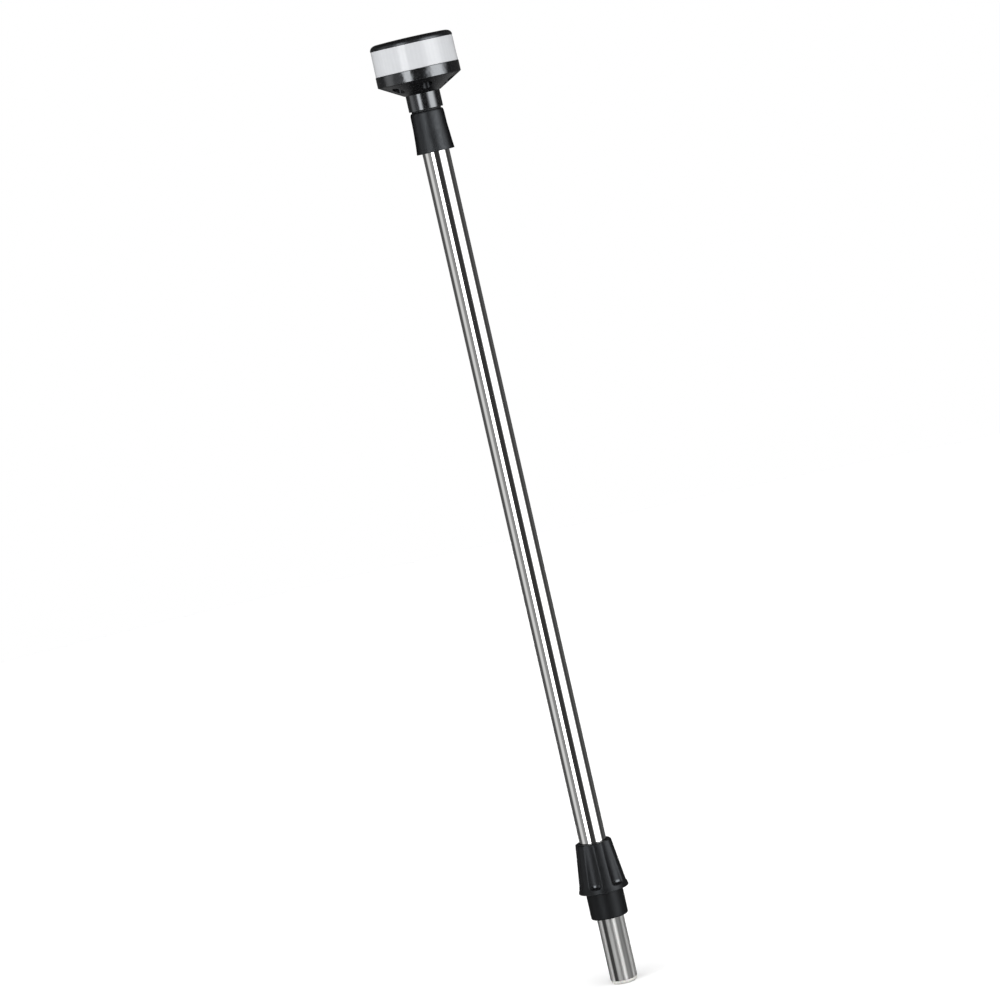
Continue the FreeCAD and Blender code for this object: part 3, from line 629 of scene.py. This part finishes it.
def make_sleeve():
    bore = TUBE_R + SLIP
    pocket_r, pocket_top = 10.95, SLEEVE_Z + 1.25
    groove_r, groove_top = SLEEVE_R - SEAL_DEPTH, DECK_Z + SEAL_LAND
    sleeve = lathe(
        "sleeve_body",
        [
            (pocket_r, SLEEVE_Z, 0.05),
            (SLEEVE_R, SLEEVE_Z, 1.0),
            (SLEEVE_R, DECK_Z, 0.12),
            (groove_r, DECK_Z),
            (groove_r, groove_top),
            (SLEEVE_R, groove_top, 0.12),
            (SLEEVE_R, DECK_Z + SHOULDER, 0.12),
            (SHOULDER_R, DECK_Z + SHOULDER, 0.2),
            (SHOULDER_R, SLEEVE_TOP_Z, 0.5),
            (bore, SLEEVE_TOP_Z, 0.1),
            (bore, pocket_top),
            (pocket_r, pocket_top),
        ],
        FINE_TURNS,
    )
    z, far = middle("sleeve_rivets"), SLEEVE_R + 0.8
    return carve(sleeve, [rod(RIVET_R + SLIP, (0, -far, z), (0, far, z))])


def make_seal():
    """The sleeve's O-ring."""
    section_r, turns = 1.18, 24
    centre_r, z = SLEEVE_R - SEAL_DEPTH + section_r + SLIP, DECK_Z + SEAL_LAND / 2
    angles = [2 * math.pi * i / turns for i in range(turns)]
    outline = [(centre_r + section_r * math.cos(a), z + section_r * math.sin(a)) for a in angles]
    return lathe("o_ring", outline)


def make_plug():
    """Contact plug: a rounded nose, barbs inside the tube, a hollow top, two contact holes and a keyway."""
    lip_r, body_r, hollow_r = TUBE_R - 0.45, BORE_R - 0.15, 6.4
    tube_z, top_z, web_z = foot("pole_tube"), top("contact_plug"), 20.0
    nose = [(0, 0), (lip_r - 2.2, 0)] + curve_points((lip_r - 2.2, 0), (lip_r - 0.5, 0.55), (lip_r, 2.0), 10)
    barbs = []
    for z in (9.0, 15.0, 21.0):
        barbs += [(body_r, z), (BORE_R - 0.01, z + 0.4), (body_r, z + 2.6)]
    outline = nose + [(lip_r, tube_z, 0.1), (body_r, tube_z)] + barbs
    outline += [(body_r, top_z, 0.2), (hollow_r, top_z, 0.2), (hollow_r, web_z), (0, web_z)]
    plug = lathe("plug_body", outline, closed=False)
    keyway_at, keyway = (0, 6.2, 1.5), (2.4, 3.4, 5.0)
    cutters = [bar(keyway_at, keyway)]
    mouth_r, seat_r, seat_z = 1.5, 2.02, 1.0
    for x in (-4.0, 4.0):
        cutters.append(rod(mouth_r, (x, 0, -1), (x, 0, seat_z + 0.1)))
        cutters.append(rod(seat_r, (x, 0, seat_z), (x, 0, web_z + 1)))
    return carve(plug, cutters)


def make_rivets():
    """Two rivets across the sleeve, with domed heads sunk in their holes."""
    tail, head = BORE_R - 0.4, reach_y("sleeve_rivets")
    outline = [(0, tail), (RIVET_R - 0.3, tail), (RIVET_R, tail + 0.3), (RIVET_R, head - 0.35)]
    outline += curve_points(outline[-1], (RIVET_R * 0.72, head - 0.08), (0, head), 8)
    rivet = lathe("rivet", outline, 48, closed=False)
    level = Matrix.Translation((0, 0, middle("sleeve_rivets") * MM))
    lay = [level @ Matrix.Rotation(math.radians(turn), 4, "X") for turn in (90, -90)]
    return join_copies("rivet_pair", rivet, lay)


def make_spring_ring():
    """Split spring ring in the tube's groove."""
    inner, outer = TUBE_R - RING_GROOVE_DEPTH + 0.03, -foot_x("retaining_ring")
    z_low, z_high = foot("retaining_ring"), top("retaining_ring")
    half_gap = 2.5
    ring = lathe("spring_ring", [
        (inner, z_low, 0.1), (outer, z_low, 0.15), (outer, z_high, 0.15), (inner, z_high, 0.1),
    ])
    carve(ring, [bar((0, TUBE_R, (z_low + z_high) / 2), (2 * half_gap, 6.0, 4.0))])
    return bevel_edges(ring, lambda p: abs(abs(p.x) - half_gap) < 0.01 and p.y > 0, 0.1, 2)


# ---------------------------------------------------------------- finishes
class Nodes:
    """A node tree, written as short calls."""

    def __init__(self, owner):
        owner.use_nodes = True
        self.tree = owner.node_tree
        self.tree.nodes.clear()

    def add(self, kind, **settings):
        node = self.tree.nodes.new("ShaderNode" + kind)
        for key, value in settings.items():
            setattr(node, key, value)
        return node

    def put(self, socket, value):
        """Links a value from another node to the socket, or sets a plain value there."""
        if isinstance(value, bpy.types.NodeSocket):
            self.tree.links.new(value, socket)
        else:
            socket.default_value = value

    def feed(self, node, **values):
        """Fills a node's inputs by name. An underscore stands for a space."""
        for key, value in values.items():
            self.put(node.inputs[key.replace("_", " ")], value)
        return node

    def calc(self, operation, *values):
        node = self.add("Math", operation=operation)
        for socket, value in zip(node.inputs, values):
            self.put(socket, value)
        return node.outputs[0]

    def vector(self, operation, *values):
        node = self.add("VectorMath", operation=operation)
        for socket, value in zip(node.inputs, values):
            self.put(socket, value)
        return node.outputs["Value" if operation == "DOT_PRODUCT" else "Vector"]

    def part(self, vector, axis):
        """A vector's X, Y or Z."""
        node = self.add("SeparateXYZ")
        self.put(node.inputs[0], vector)
        return node.outputs[axis]

    def between(self, value, start, end, level=1.0):
        """0 at start, level at end, smooth between."""
        node = self.add("MapRange", interpolation_type="SMOOTHSTEP")
        return self.feed(node, Value=value, From_Min=start, From_Max=end, To_Max=level).outputs[0]

    def spread(self, value, low, high, start=0.3, end=0.7):
        """Takes value from start..end to low..high."""
        node = self.add("MapRange", clamp=True)
        return self.feed(node, Value=value, From_Min=start, From_Max=end, To_Min=low, To_Max=high).outputs[0]

    def blend(self, share, first, second):
        """A number between first and second."""
        node = self.add("Mix", data_type="FLOAT")
        for socket, value in zip((node.inputs[0], node.inputs[2], node.inputs[3]), (share, first, second)):
            self.put(socket, value)
        return node.outputs[0]

    def mix(self, share, first, second):
        """A colour between first and second."""
        node = self.add("Mix", data_type="RGBA")
        ends = [end if isinstance(end, bpy.types.NodeSocket) else (*end, 1) for end in (first, second)]
        for socket, value in zip((node.inputs[0], node.inputs[6], node.inputs[7]), (share, *ends)):
            self.put(socket, value)
        return node.outputs[2]


class Finish(Nodes):
    """A material. Positions in it are in millimetres."""

    def __init__(self, name):
        self.material = bpy.data.materials.new(name)
        super().__init__(self.material)
        self.position = self.vector("MULTIPLY", self.add("TexCoord").outputs["Object"], (1 / MM,) * 3)

    def noise(self, size, detail=2.0, stretch=(1, 1, 1), seed=0.0):
        """Smooth noise from 0 to 1 whose blobs are about size mm across."""
        spot = self.vector("ADD", self.vector("MULTIPLY", self.position, stretch), (seed, seed, seed))
        node = self.feed(self.add("TexNoise"), Vector=spot, Scale=1 / size, Detail=detail, Roughness=0.55)
        return node.outputs[0]

    def level(self, z_low, z_high):
        """0 below z_low, 1 above z_high, smooth between."""
        return self.between(self.part(self.position, "Z"), z_low, z_high)

    def facing_up(self):
        """How much the surface faces up, from -1 to 1."""
        return self.part(self.add("NewGeometry").outputs["Normal"], "Z")

    def worn_edge(self, share):
        """Up to share on outward edges, 0 elsewhere."""
        return self.spread(self.add("NewGeometry").outputs["Pointiness"], 0.0, share, 0.51, 0.6)

    def shied(self, shine, shy):
        """The shine, less a share of it where the surface turns away from the viewer."""
        return self.spread(self.add("LayerWeight").outputs["Facing"], shine, shine * (1 - shy), 0.3, 0.65)

    def shade(self, colour, factor):
        """A colour times a varying factor."""
        node = self.add("VectorMath", operation="SCALE")
        self.put(node.inputs[0], colour)
        self.put(node.inputs["Scale"], factor)
        return node.outputs[0]

    def bump(self, height, depth, normal=None):
        """A bump whose highest points stand depth mm above its lowest."""
        node = self.feed(self.add("Bump"), Height=height, Distance=depth * MM, Strength=1.0)
        if normal is not None:
            self.put(node.inputs["Normal"], normal)
        return node.outputs[0]

    def surface(self, **values):
        shader = self.feed(self.add("BsdfPrincipled"), **values)
        self.put(self.add("OutputMaterial").inputs["Surface"], shader.outputs[0])
        return self.material


COOL = (0.88, 0.94, 1.0, 1.0)               # black plastics shine faintly blue


def moulded(name, colour, roughness, grain=0.25, grain_depth=0.004, ripple=0.0, worn=0.0, shy=0.0, **more):
    """Moulded plastic or rubber: fine grain, slow sink ripples, faint blotches and paler worn edges.

    A shy surface loses this share of its shine where it turns away, as a dusty one does.
    """
    look = Finish(name)
    cloud = look.noise(2.5, 3, seed=7.0)
    tone = look.shade(colour, look.spread(cloud, 0.82, 1.2))
    paler = [min(1.0, c * 6 + 0.02) for c in colour]
    for shine in ("Specular_IOR_Level", "Coat_Weight"):
        if shy and shine in more:
            more[shine] = look.shied(more[shine], shy)
    return look.surface(
        Base_Color=look.mix(look.worn_edge(worn), tone, paler),
        Roughness=look.spread(cloud, roughness * 0.88, roughness * 1.12),
        Normal=look.bump(look.noise(9.0, 2), ripple, look.bump(look.noise(grain, 3), grain_depth)),
        **more,
    )


def rubber(name, colour, roughness, shy=0.0):
    return moulded(name, colour, roughness, grain=0.35, grain_depth=0.02, ripple=0.03, shy=shy,
                   Specular_IOR_Level=0.5, Specular_Tint=COOL)


def metal(name, colour, roughness, lines=(1, 1, 1), depth=0.002, size=0.4):
    """Worked metal, with fine lines where stretch makes the noise long in one direction."""
    look = Finish(name)
    grain = look.noise(size, 3, lines)
    stain = look.noise(4.0, 3, seed=3.0)
    return look.surface(
        Base_Color=look.shade(colour, look.spread(stain, 0.9, 1.05)),
        Metallic=1.0,
        Roughness=look.spread(grain, roughness * 0.75, roughness * 1.3),
        Normal=look.bump(grain, depth),
    )


PAINTED_BAND_REPEAT = 120.0                       # degrees after which the stub's painted reflection bands come again
STUB_PAINTED_REFLECTION_BANDS = [
    # bearing round the stub from the front in degrees, half width, share of its colour kept under the painted
    # reflection band
    (-33, 10.5, 0.065),
    (-11, 14, 0.26),
    (30, 17, 0.09),
]


def bright_tube(name):
    """Polished tube. The bare stub below the sleeve is brushed, dulled and streaked lengthwise, and has dark
    lengthwise bands painted into its colour at set bearings from the front: painted reflections.
    """
    look = Finish(name)
    polished = look.level(SLEEVE_Z - 1, SLEEVE_Z + 1)
    drawn = look.noise(0.9, 3, (1, 1, 0.004))
    brushed = look.noise(0.35, 3, (1, 1, 0.02), seed=5.0)
    smear = look.noise(14.0, 2, (1, 1, 0.25), seed=9.0)
    front = look.calc("MULTIPLY", look.part(look.position, "Y"), -1.0)
    bearing = look.calc("DEGREES", look.calc("ARCTAN2", look.part(look.position, "X"), front))
    bearing = look.calc("WRAP", bearing, PAINTED_BAND_REPEAT / 2, -PAINTED_BAND_REPEAT / 2)
    # brushed tone, then dark bands painted in at set bearings as painted reflections of the studio on the stub
    brushed_tone_and_painted_bands = look.spread(brushed, 0.77, 1.01)
    for centre, half_width, kept in STUB_PAINTED_REFLECTION_BANDS:
        off = look.calc("ABSOLUTE", look.calc("SUBTRACT", bearing, centre))
        painted_band_shade = look.between(off, half_width * 1.5, half_width * 0.5, 1 - kept)
        brushed_tone_and_painted_bands = look.calc("MULTIPLY", brushed_tone_and_painted_bands, look.calc("SUBTRACT", 1.0, painted_band_shade))
    scuffs = look.calc("MULTIPLY", look.calc("SUBTRACT", 1.0, polished), brushed)
    return look.surface(
        Base_Color=look.shade((1.0, 1.0, 0.985), look.blend(polished, brushed_tone_and_painted_bands, look.spread(drawn, 0.80, 0.84))),
        Metallic=1.0,
        Roughness=look.calc("ADD", look.blend(polished, 0.44, 0.05), look.spread(smear, -0.01, 0.015)),
        Normal=look.bump(scuffs, 0.004),
    )


def head_plastic(name):
    """Polished on the neck, satin on the cone above it, and duller on the pockets' upright walls."""
    look = Finish(name)
    cone = look.level(CONE_Z - 0.3, CONE_Z + 0.3)
    cloud = look.noise(2.5, 3, seed=7.0)
    shine = look.spread(look.calc("ABSOLUTE", look.facing_up()), 0.22, 0.5, 0.3, 0.6)
    return look.surface(
        Base_Color=look.shade((0.0055, 0.0055, 0.006), look.spread(cloud, 0.82, 1.2)),
        Roughness=look.calc("MULTIPLY", look.blend(cone, 0.2, 0.28), look.spread(cloud, 0.9, 1.1)),
        Specular_IOR_Level=look.blend(cone, look.shied(1.0, 0.6), shine),
        Specular_Tint=COOL,
        Coat_Weight=look.blend(cone, look.shied(0.85, 0.8), 0.0),
        Coat_Roughness=0.15,
        Normal=look.bump(look.noise(9.0, 2), 0.02, look.bump(look.noise(0.25, 3), 0.0015)),
    )


def collar_plastic(name):
    """Satin moulding with paler worn edges. The flutes' deep ends are smoother, where no hand rubs them."""
    look = Finish(name)
    cloud = look.noise(2.5, 3, seed=7.0)
    cut = look.add("Attribute", attribute_name="flute_depth").outputs["Fac"]
    low = look.calc("SUBTRACT", 1.0, look.level(DECK_Z + 5.4, DECK_Z + 7))
    end = look.calc("MULTIPLY", look.spread(cut, 0, 1, 0.8, 1.6), low)
    tone = look.shade((0.005, 0.005, 0.0054), look.spread(cloud, 0.8, 1.25))
    return look.surface(
        Base_Color=look.mix(look.worn_edge(0.3), tone, (0.05, 0.05, 0.05)),
        Roughness=look.calc("MULTIPLY", look.blend(end, 0.4, 0.15), look.spread(cloud, 0.9, 1.1)),
        Specular_IOR_Level=look.blend(end, 0.28, 1.0),
        Specular_Tint=COOL,
        Normal=look.bump(look.noise(9.0, 2), 0.02, look.bump(look.noise(0.3, 3), 0.006)),
    )


def frosted_lens(name):
    """Milky moulding. The ribs inside show through as faint upright bands of painted light and shade in its
    colour, under a faint random tone.
    """
    look = Finish(name)
    angle = look.calc("ARCTAN2", look.part(look.position, "Y"), look.part(look.position, "X"))
    rib = look.calc("COSINE", look.calc("MULTIPLY", angle, float(LENS_RIBS)))
    cloud = look.noise(5.0, 2)
    # painted light and shade: the inner ribs' bands are put straight into the colour, plus a faint random tone
    painted_rib_light_and_tone = look.calc("ADD", look.spread(rib, 0.985, 1.01, -1, 1), look.spread(cloud, -0.01, 0.01))
    return look.surface(
        Base_Color=look.shade((0.617, 0.629, 0.648), painted_rib_light_and_tone),
        Roughness=0.4,
        Specular_IOR_Level=0.05,
        Coat_Weight=0.7,
        Coat_Roughness=look.spread(cloud, 0.02, 0.04),
        Normal=look.bump(look.noise(0.3, 3), 0.003),
        Subsurface_Weight=0.15,
        Subsurface_Radius=(1.0, 1.0, 1.0),
        Subsurface_Scale=1.5 * MM,
    )


def clear_optic(name):
    look = Finish(name)
    return look.surface(
        Base_Color=(0.95, 0.97, 0.98, 1),
        Roughness=look.spread(look.noise(3.0, 2), 0.02, 0.06),
        IOR=1.49,
        Transmission_Weight=1.0,
    )


def soft_foam(name):
    """Open-cell foam."""
    look = Finish(name)
    cells = look.feed(look.add("TexVoronoi", feature="DISTANCE_TO_EDGE"), Vector=look.position, Scale=1.6)
    wall = look.spread(cells.outputs[0], 1.0, 0.0, 0.0, 0.25)
    return look.surface(
        Base_Color=look.shade((0.10, 0.10, 0.105), look.blend(wall, 0.45, 1.3)),
        Roughness=0.95,
        Normal=look.bump(wall, 0.25),
    )


def board_laminate(name):
    """White solder mask over a glass weave."""
    look = Finish(name)
    bands = look.add("TexWave", wave_type="BANDS", bands_direction="DIAGONAL")
    weave = look.feed(bands, Vector=look.position, Scale=0.9, Distortion=0.4).outputs[1]
    return look.surface(
        Base_Color=look.shade((0.72, 0.74, 0.72), look.blend(weave, 0.97, 1.02)),
        Roughness=look.spread(look.noise(2.0, 2), 0.3, 0.42),
        Normal=look.bump(weave, 0.003),
    )


def make_finishes():
    black = (0.006, 0.006, 0.0065)
    deep_black = (0.004, 0.004, 0.0043)
    lengthwise = (1, 1, 0.03)
    polish = {"Specular_IOR_Level": 1.0, "Specular_Tint": COOL, "Coat_Weight": 0.9, "Coat_Roughness": 0.1}
    satin = {"Specular_IOR_Level": 0.85, "Specular_Tint": COOL}
    matt = {"Specular_IOR_Level": 0.17, "Specular_Tint": COOL}
    waxy = {"Subsurface_Weight": 0.1, "Subsurface_Scale": MM}
    made = [
        bright_tube("bright_tube"),
        frosted_lens("frosted_lens"),
        clear_optic("clear_optic"),
        soft_foam("foam"),
        board_laminate("board_laminate"),
        moulded("cap_plastic", black, 0.32, grain_depth=0.0006, ripple=0.02, shy=0.6, **satin),
        moulded("bezel_plastic", black, 0.18, grain_depth=0.0006, ripple=0.6, shy=0.75, **polish),
        head_plastic("head_plastic"),
        collar_plastic("collar_plastic"),
        moulded("sleeve_plastic", deep_black, 0.45, grain=0.3, grain_depth=0.006, worn=0.2, **matt),
        moulded("adapter_nylon", (0.03, 0.03, 0.03), 0.5),
        moulded("plug_nylon", (0.72, 0.71, 0.68), 0.45, ripple=0.02, **waxy),
        moulded("tie_nylon", (0.03, 0.03, 0.03), 0.45),
        moulded("washer_acetal", (0.62, 0.61, 0.58), 0.35),
        moulded("component_body", (0.02, 0.02, 0.021), 0.5),
        moulded("emitter_phosphor", (0.80, 0.62, 0.12), 0.45),
        moulded("cable_pvc", (0.02, 0.02, 0.021), 0.45),
        moulded("wire_red", (0.45, 0.02, 0.015), 0.4),
        moulded("wire_black", (0.015, 0.015, 0.016), 0.4),
        moulded("shrink_tube", (0.012, 0.012, 0.012), 0.5, ripple=0.04),
        rubber("boot_rubber", (0.004, 0.004, 0.0045), 0.46, shy=0.95),
        rubber("gasket_rubber", (0.012, 0.012, 0.0125), 0.6),
        rubber("seal_rubber", (0.010, 0.010, 0.0105), 0.42),
        rubber("grommet_rubber", (0.014, 0.014, 0.014), 0.6),
        metal("rivet_metal", (0.62, 0.62, 0.63), 0.3),
        metal("screw_steel", (0.10, 0.10, 0.105), 0.4),
        metal("spreader_metal", (0.75, 0.76, 0.78), 0.35, (0.05, 1, 1)),
        metal("solder", (0.66, 0.67, 0.68), 0.22, size=1.0, depth=0.02),
        metal("contact_brass", (0.72, 0.52, 0.22), 0.3, lengthwise),
        metal("spring_steel", (0.42, 0.42, 0.44), 0.32),
    ]
    return {material.name: material for material in made}


# ---------------------------------------------------------------- light, floor and camera
AMBIENT = 0.95                              # the level that soft surfaces see
AMBIENT_LEAN = (-0.05, -0.26, 0.34)         # how much it gains towards +X, +Y and +Z

SOFT_BOXES = [
    # start, full from, full to and end, as bearings from the camera in degrees to the right. Then the level
    (-47, -39, -23, -15.5, 4.6),
    (-78, -64, -52, -38, 0.24),
    (-119, -95, -81, -57, 0.7),
    (15, 41, 62, 97, 4.4),
]
BEHIND = 0.05                               # beyond the sides, all round the back
GLOOM = 0.04                                # between the soft boxes
FLOOR_GLOW = 0.28                           # just below the horizon
OVERHEAD = 0.03
UNDERNEATH = 0.02


def sight(look):
    """A direction's bearing from the camera and its height above the camera's level, in degrees."""
    direction = look.add("TexCoord").outputs["Generated"]
    view = look.add("VectorTransform", vector_type="VECTOR", convert_from="CAMERA", convert_to="WORLD")
    view.inputs[0].default_value = (0, 0, 1)
    ahead = view.outputs[0]
    right = look.vector("NORMALIZE", look.vector("CROSS_PRODUCT", ahead, (0, 0, 1)))
    up = look.vector("CROSS_PRODUCT", right, ahead)
    across = look.vector("DOT_PRODUCT", direction, right)
    back = look.calc("MULTIPLY", look.vector("DOT_PRODUCT", direction, ahead), -1.0)
    height = look.calc("ARCSINE", look.vector("DOT_PRODUCT", direction, up))
    return look.calc("DEGREES", look.calc("ARCTAN2", across, back)), look.calc("DEGREES", height)


def reflected(look):
    """What shiny surfaces see: upright soft boxes round the camera's own line of sight, turning with it."""
    bearing, height = sight(look)
    boxes = look.calc("ADD", GLOOM, look.between(look.calc("ABSOLUTE", bearing), 95, 120, BEHIND))
    for start, full_from, full_to, end, level in SOFT_BOXES:
        left, right = look.between(bearing, start, full_from), look.between(bearing, end, full_to)
        share = look.calc("MULTIPLY", left, right)
        boxes = look.calc("MULTIPLY_ADD", look.calc("POWER", share, 2.0), level, boxes)
    boxes = look.calc("MULTIPLY", boxes, look.between(height, 50, 15))
    boxes = look.calc("MULTIPLY", boxes, look.between(height, -45, -15))
    painted_rib_light_and_tone = look.calc("MULTIPLY", look.between(height, -16, -21, FLOOR_GLOW), look.between(height, -53, -42))
    above, below = look.between(height, 15, 50, OVERHEAD), look.between(height, -42, -53, UNDERNEATH)
    return look.calc("ADD", boxes, look.calc("ADD", painted_rib_light_and_tone, look.calc("ADD", above, below)))


def make_world():
    """Soft boxes for shiny surfaces, an even glow for soft ones, and a white backdrop."""
    world = bpy.data.worlds.new("studio")
    bpy.context.scene.world = world
    world.cycles.sampling_method = "NONE"
    look = Nodes(world)
    direction = look.add("TexCoord").outputs["Generated"]
    ambient = look.calc("ADD", AMBIENT, look.vector("DOT_PRODUCT", direction, AMBIENT_LEAN))
    ray = look.add("LightPath").outputs
    seen = look.mix(ray["Is Diffuse Ray"], reflected(look), ambient)
    seen = look.mix(ray["Is Camera Ray"], seen, (1.0, 1.0, 1.0))
    background = look.feed(look.add("Background"), Color=seen, Strength=1.0)
    look.put(look.add("OutputWorld").inputs["Surface"], background.outputs[0])


def make_floor():
    """Pale paper on the floor. It is clear when it is looked at from below."""
    width, thick = 3000.0, 4.0
    floor = lathe("studio_floor", [(0, -thick), (width, -thick), (width, 0.0), (0, 0.0)], 96, closed=False)
    look = Finish("studio_paper")
    tone = look.shade((1, 1, 1), look.spread(look.noise(40.0, 3), 0.93, 0.95))
    fibres = look.bump(look.noise(3.0, 2), 0.02)
    paper = look.feed(look.add("BsdfDiffuse"), Color=tone, Roughness=0.9, Normal=fibres)
    from_above = look.calc("GREATER_THAN", look.facing_up(), 0.5)
    choice = look.add("MixShader")
    sides = (from_above, look.add("BsdfTransparent").outputs[0], paper.outputs[0])
    for socket, value in zip(choice.inputs, sides):
        look.put(socket, value)
    look.put(look.add("OutputMaterial").inputs["Surface"], choice.outputs[0])
    floor.data.materials.append(look.material)
    floor.visible_glossy = False


def make_camera():
    """A long lens from well back, a little above the light's middle and tipped so that the pole leans."""
    distance, side, height, aim_height, lean = 2.941, -0.01034, 0.6376, 0.351, 12.858
    data = bpy.data.cameras.new("camera")
    data.lens = 153.0
    data.sensor_width = 36.0
    camera = bpy.data.objects.new("camera", data)
    bpy.context.scene.collection.objects.link(camera)
    camera.location = (side, -distance, height)
    towards = Vector((0, distance, aim_height - height))
    turned = towards.to_track_quat("-Z", "Y").to_matrix() @ Matrix.Rotation(math.radians(-lean), 3, "Z")
    camera.rotation_euler = turned.to_euler()
    bpy.context.scene.camera = camera


# ---------------------------------------------------------------- assembly
def take_slots():
    """Each node's material slot. The plain packed materials give up their names to the finishes."""
    slots = {node: solid.data.materials[0].name for node, solid in frame["nodes"].items()}
    for material in bpy.data.materials:
        material.name = "packed_" + material.name
    return slots


def stand_in(piece, node, finish):
    """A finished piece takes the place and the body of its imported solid."""
    settle(piece)
    piece.data.materials.clear()
    piece.data.materials.append(finish)
    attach(piece, frame["nodes"][node]["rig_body"])
    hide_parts(node)


MAKERS = {
    "pole_tube": make_tube,
    "neck_gasket": make_gasket,
    "rubber_boot": make_boot,
    "head_housing": make_housing,
    "head_screws": make_screws,
    "bezel_ring": make_bezel,
    "lens": make_lens,
    "top_cap": make_cap,
    "contact_plug": make_plug,
    "plug_sleeve": make_sleeve,
    "sleeve_rivets": make_rivets,
    "sleeve_seal": make_seal,
    "retaining_ring": make_spring_ring,
    "thrust_washer": make_washer,
    "locking_collar": make_collar,
}


def main():
    bpy.context.scene.view_settings.view_transform = "Standard"
    slots = take_slots()
    finishes = make_finishes()
    for node, slot_name in slots.items():
        if node in MAKERS:
            stand_in(MAKERS[node](), node, finishes[slot_name])
        else:
            frame["nodes"][node].data.materials[0] = finishes[slot_name]
    make_world()
    make_floor()
    make_camera()


main()
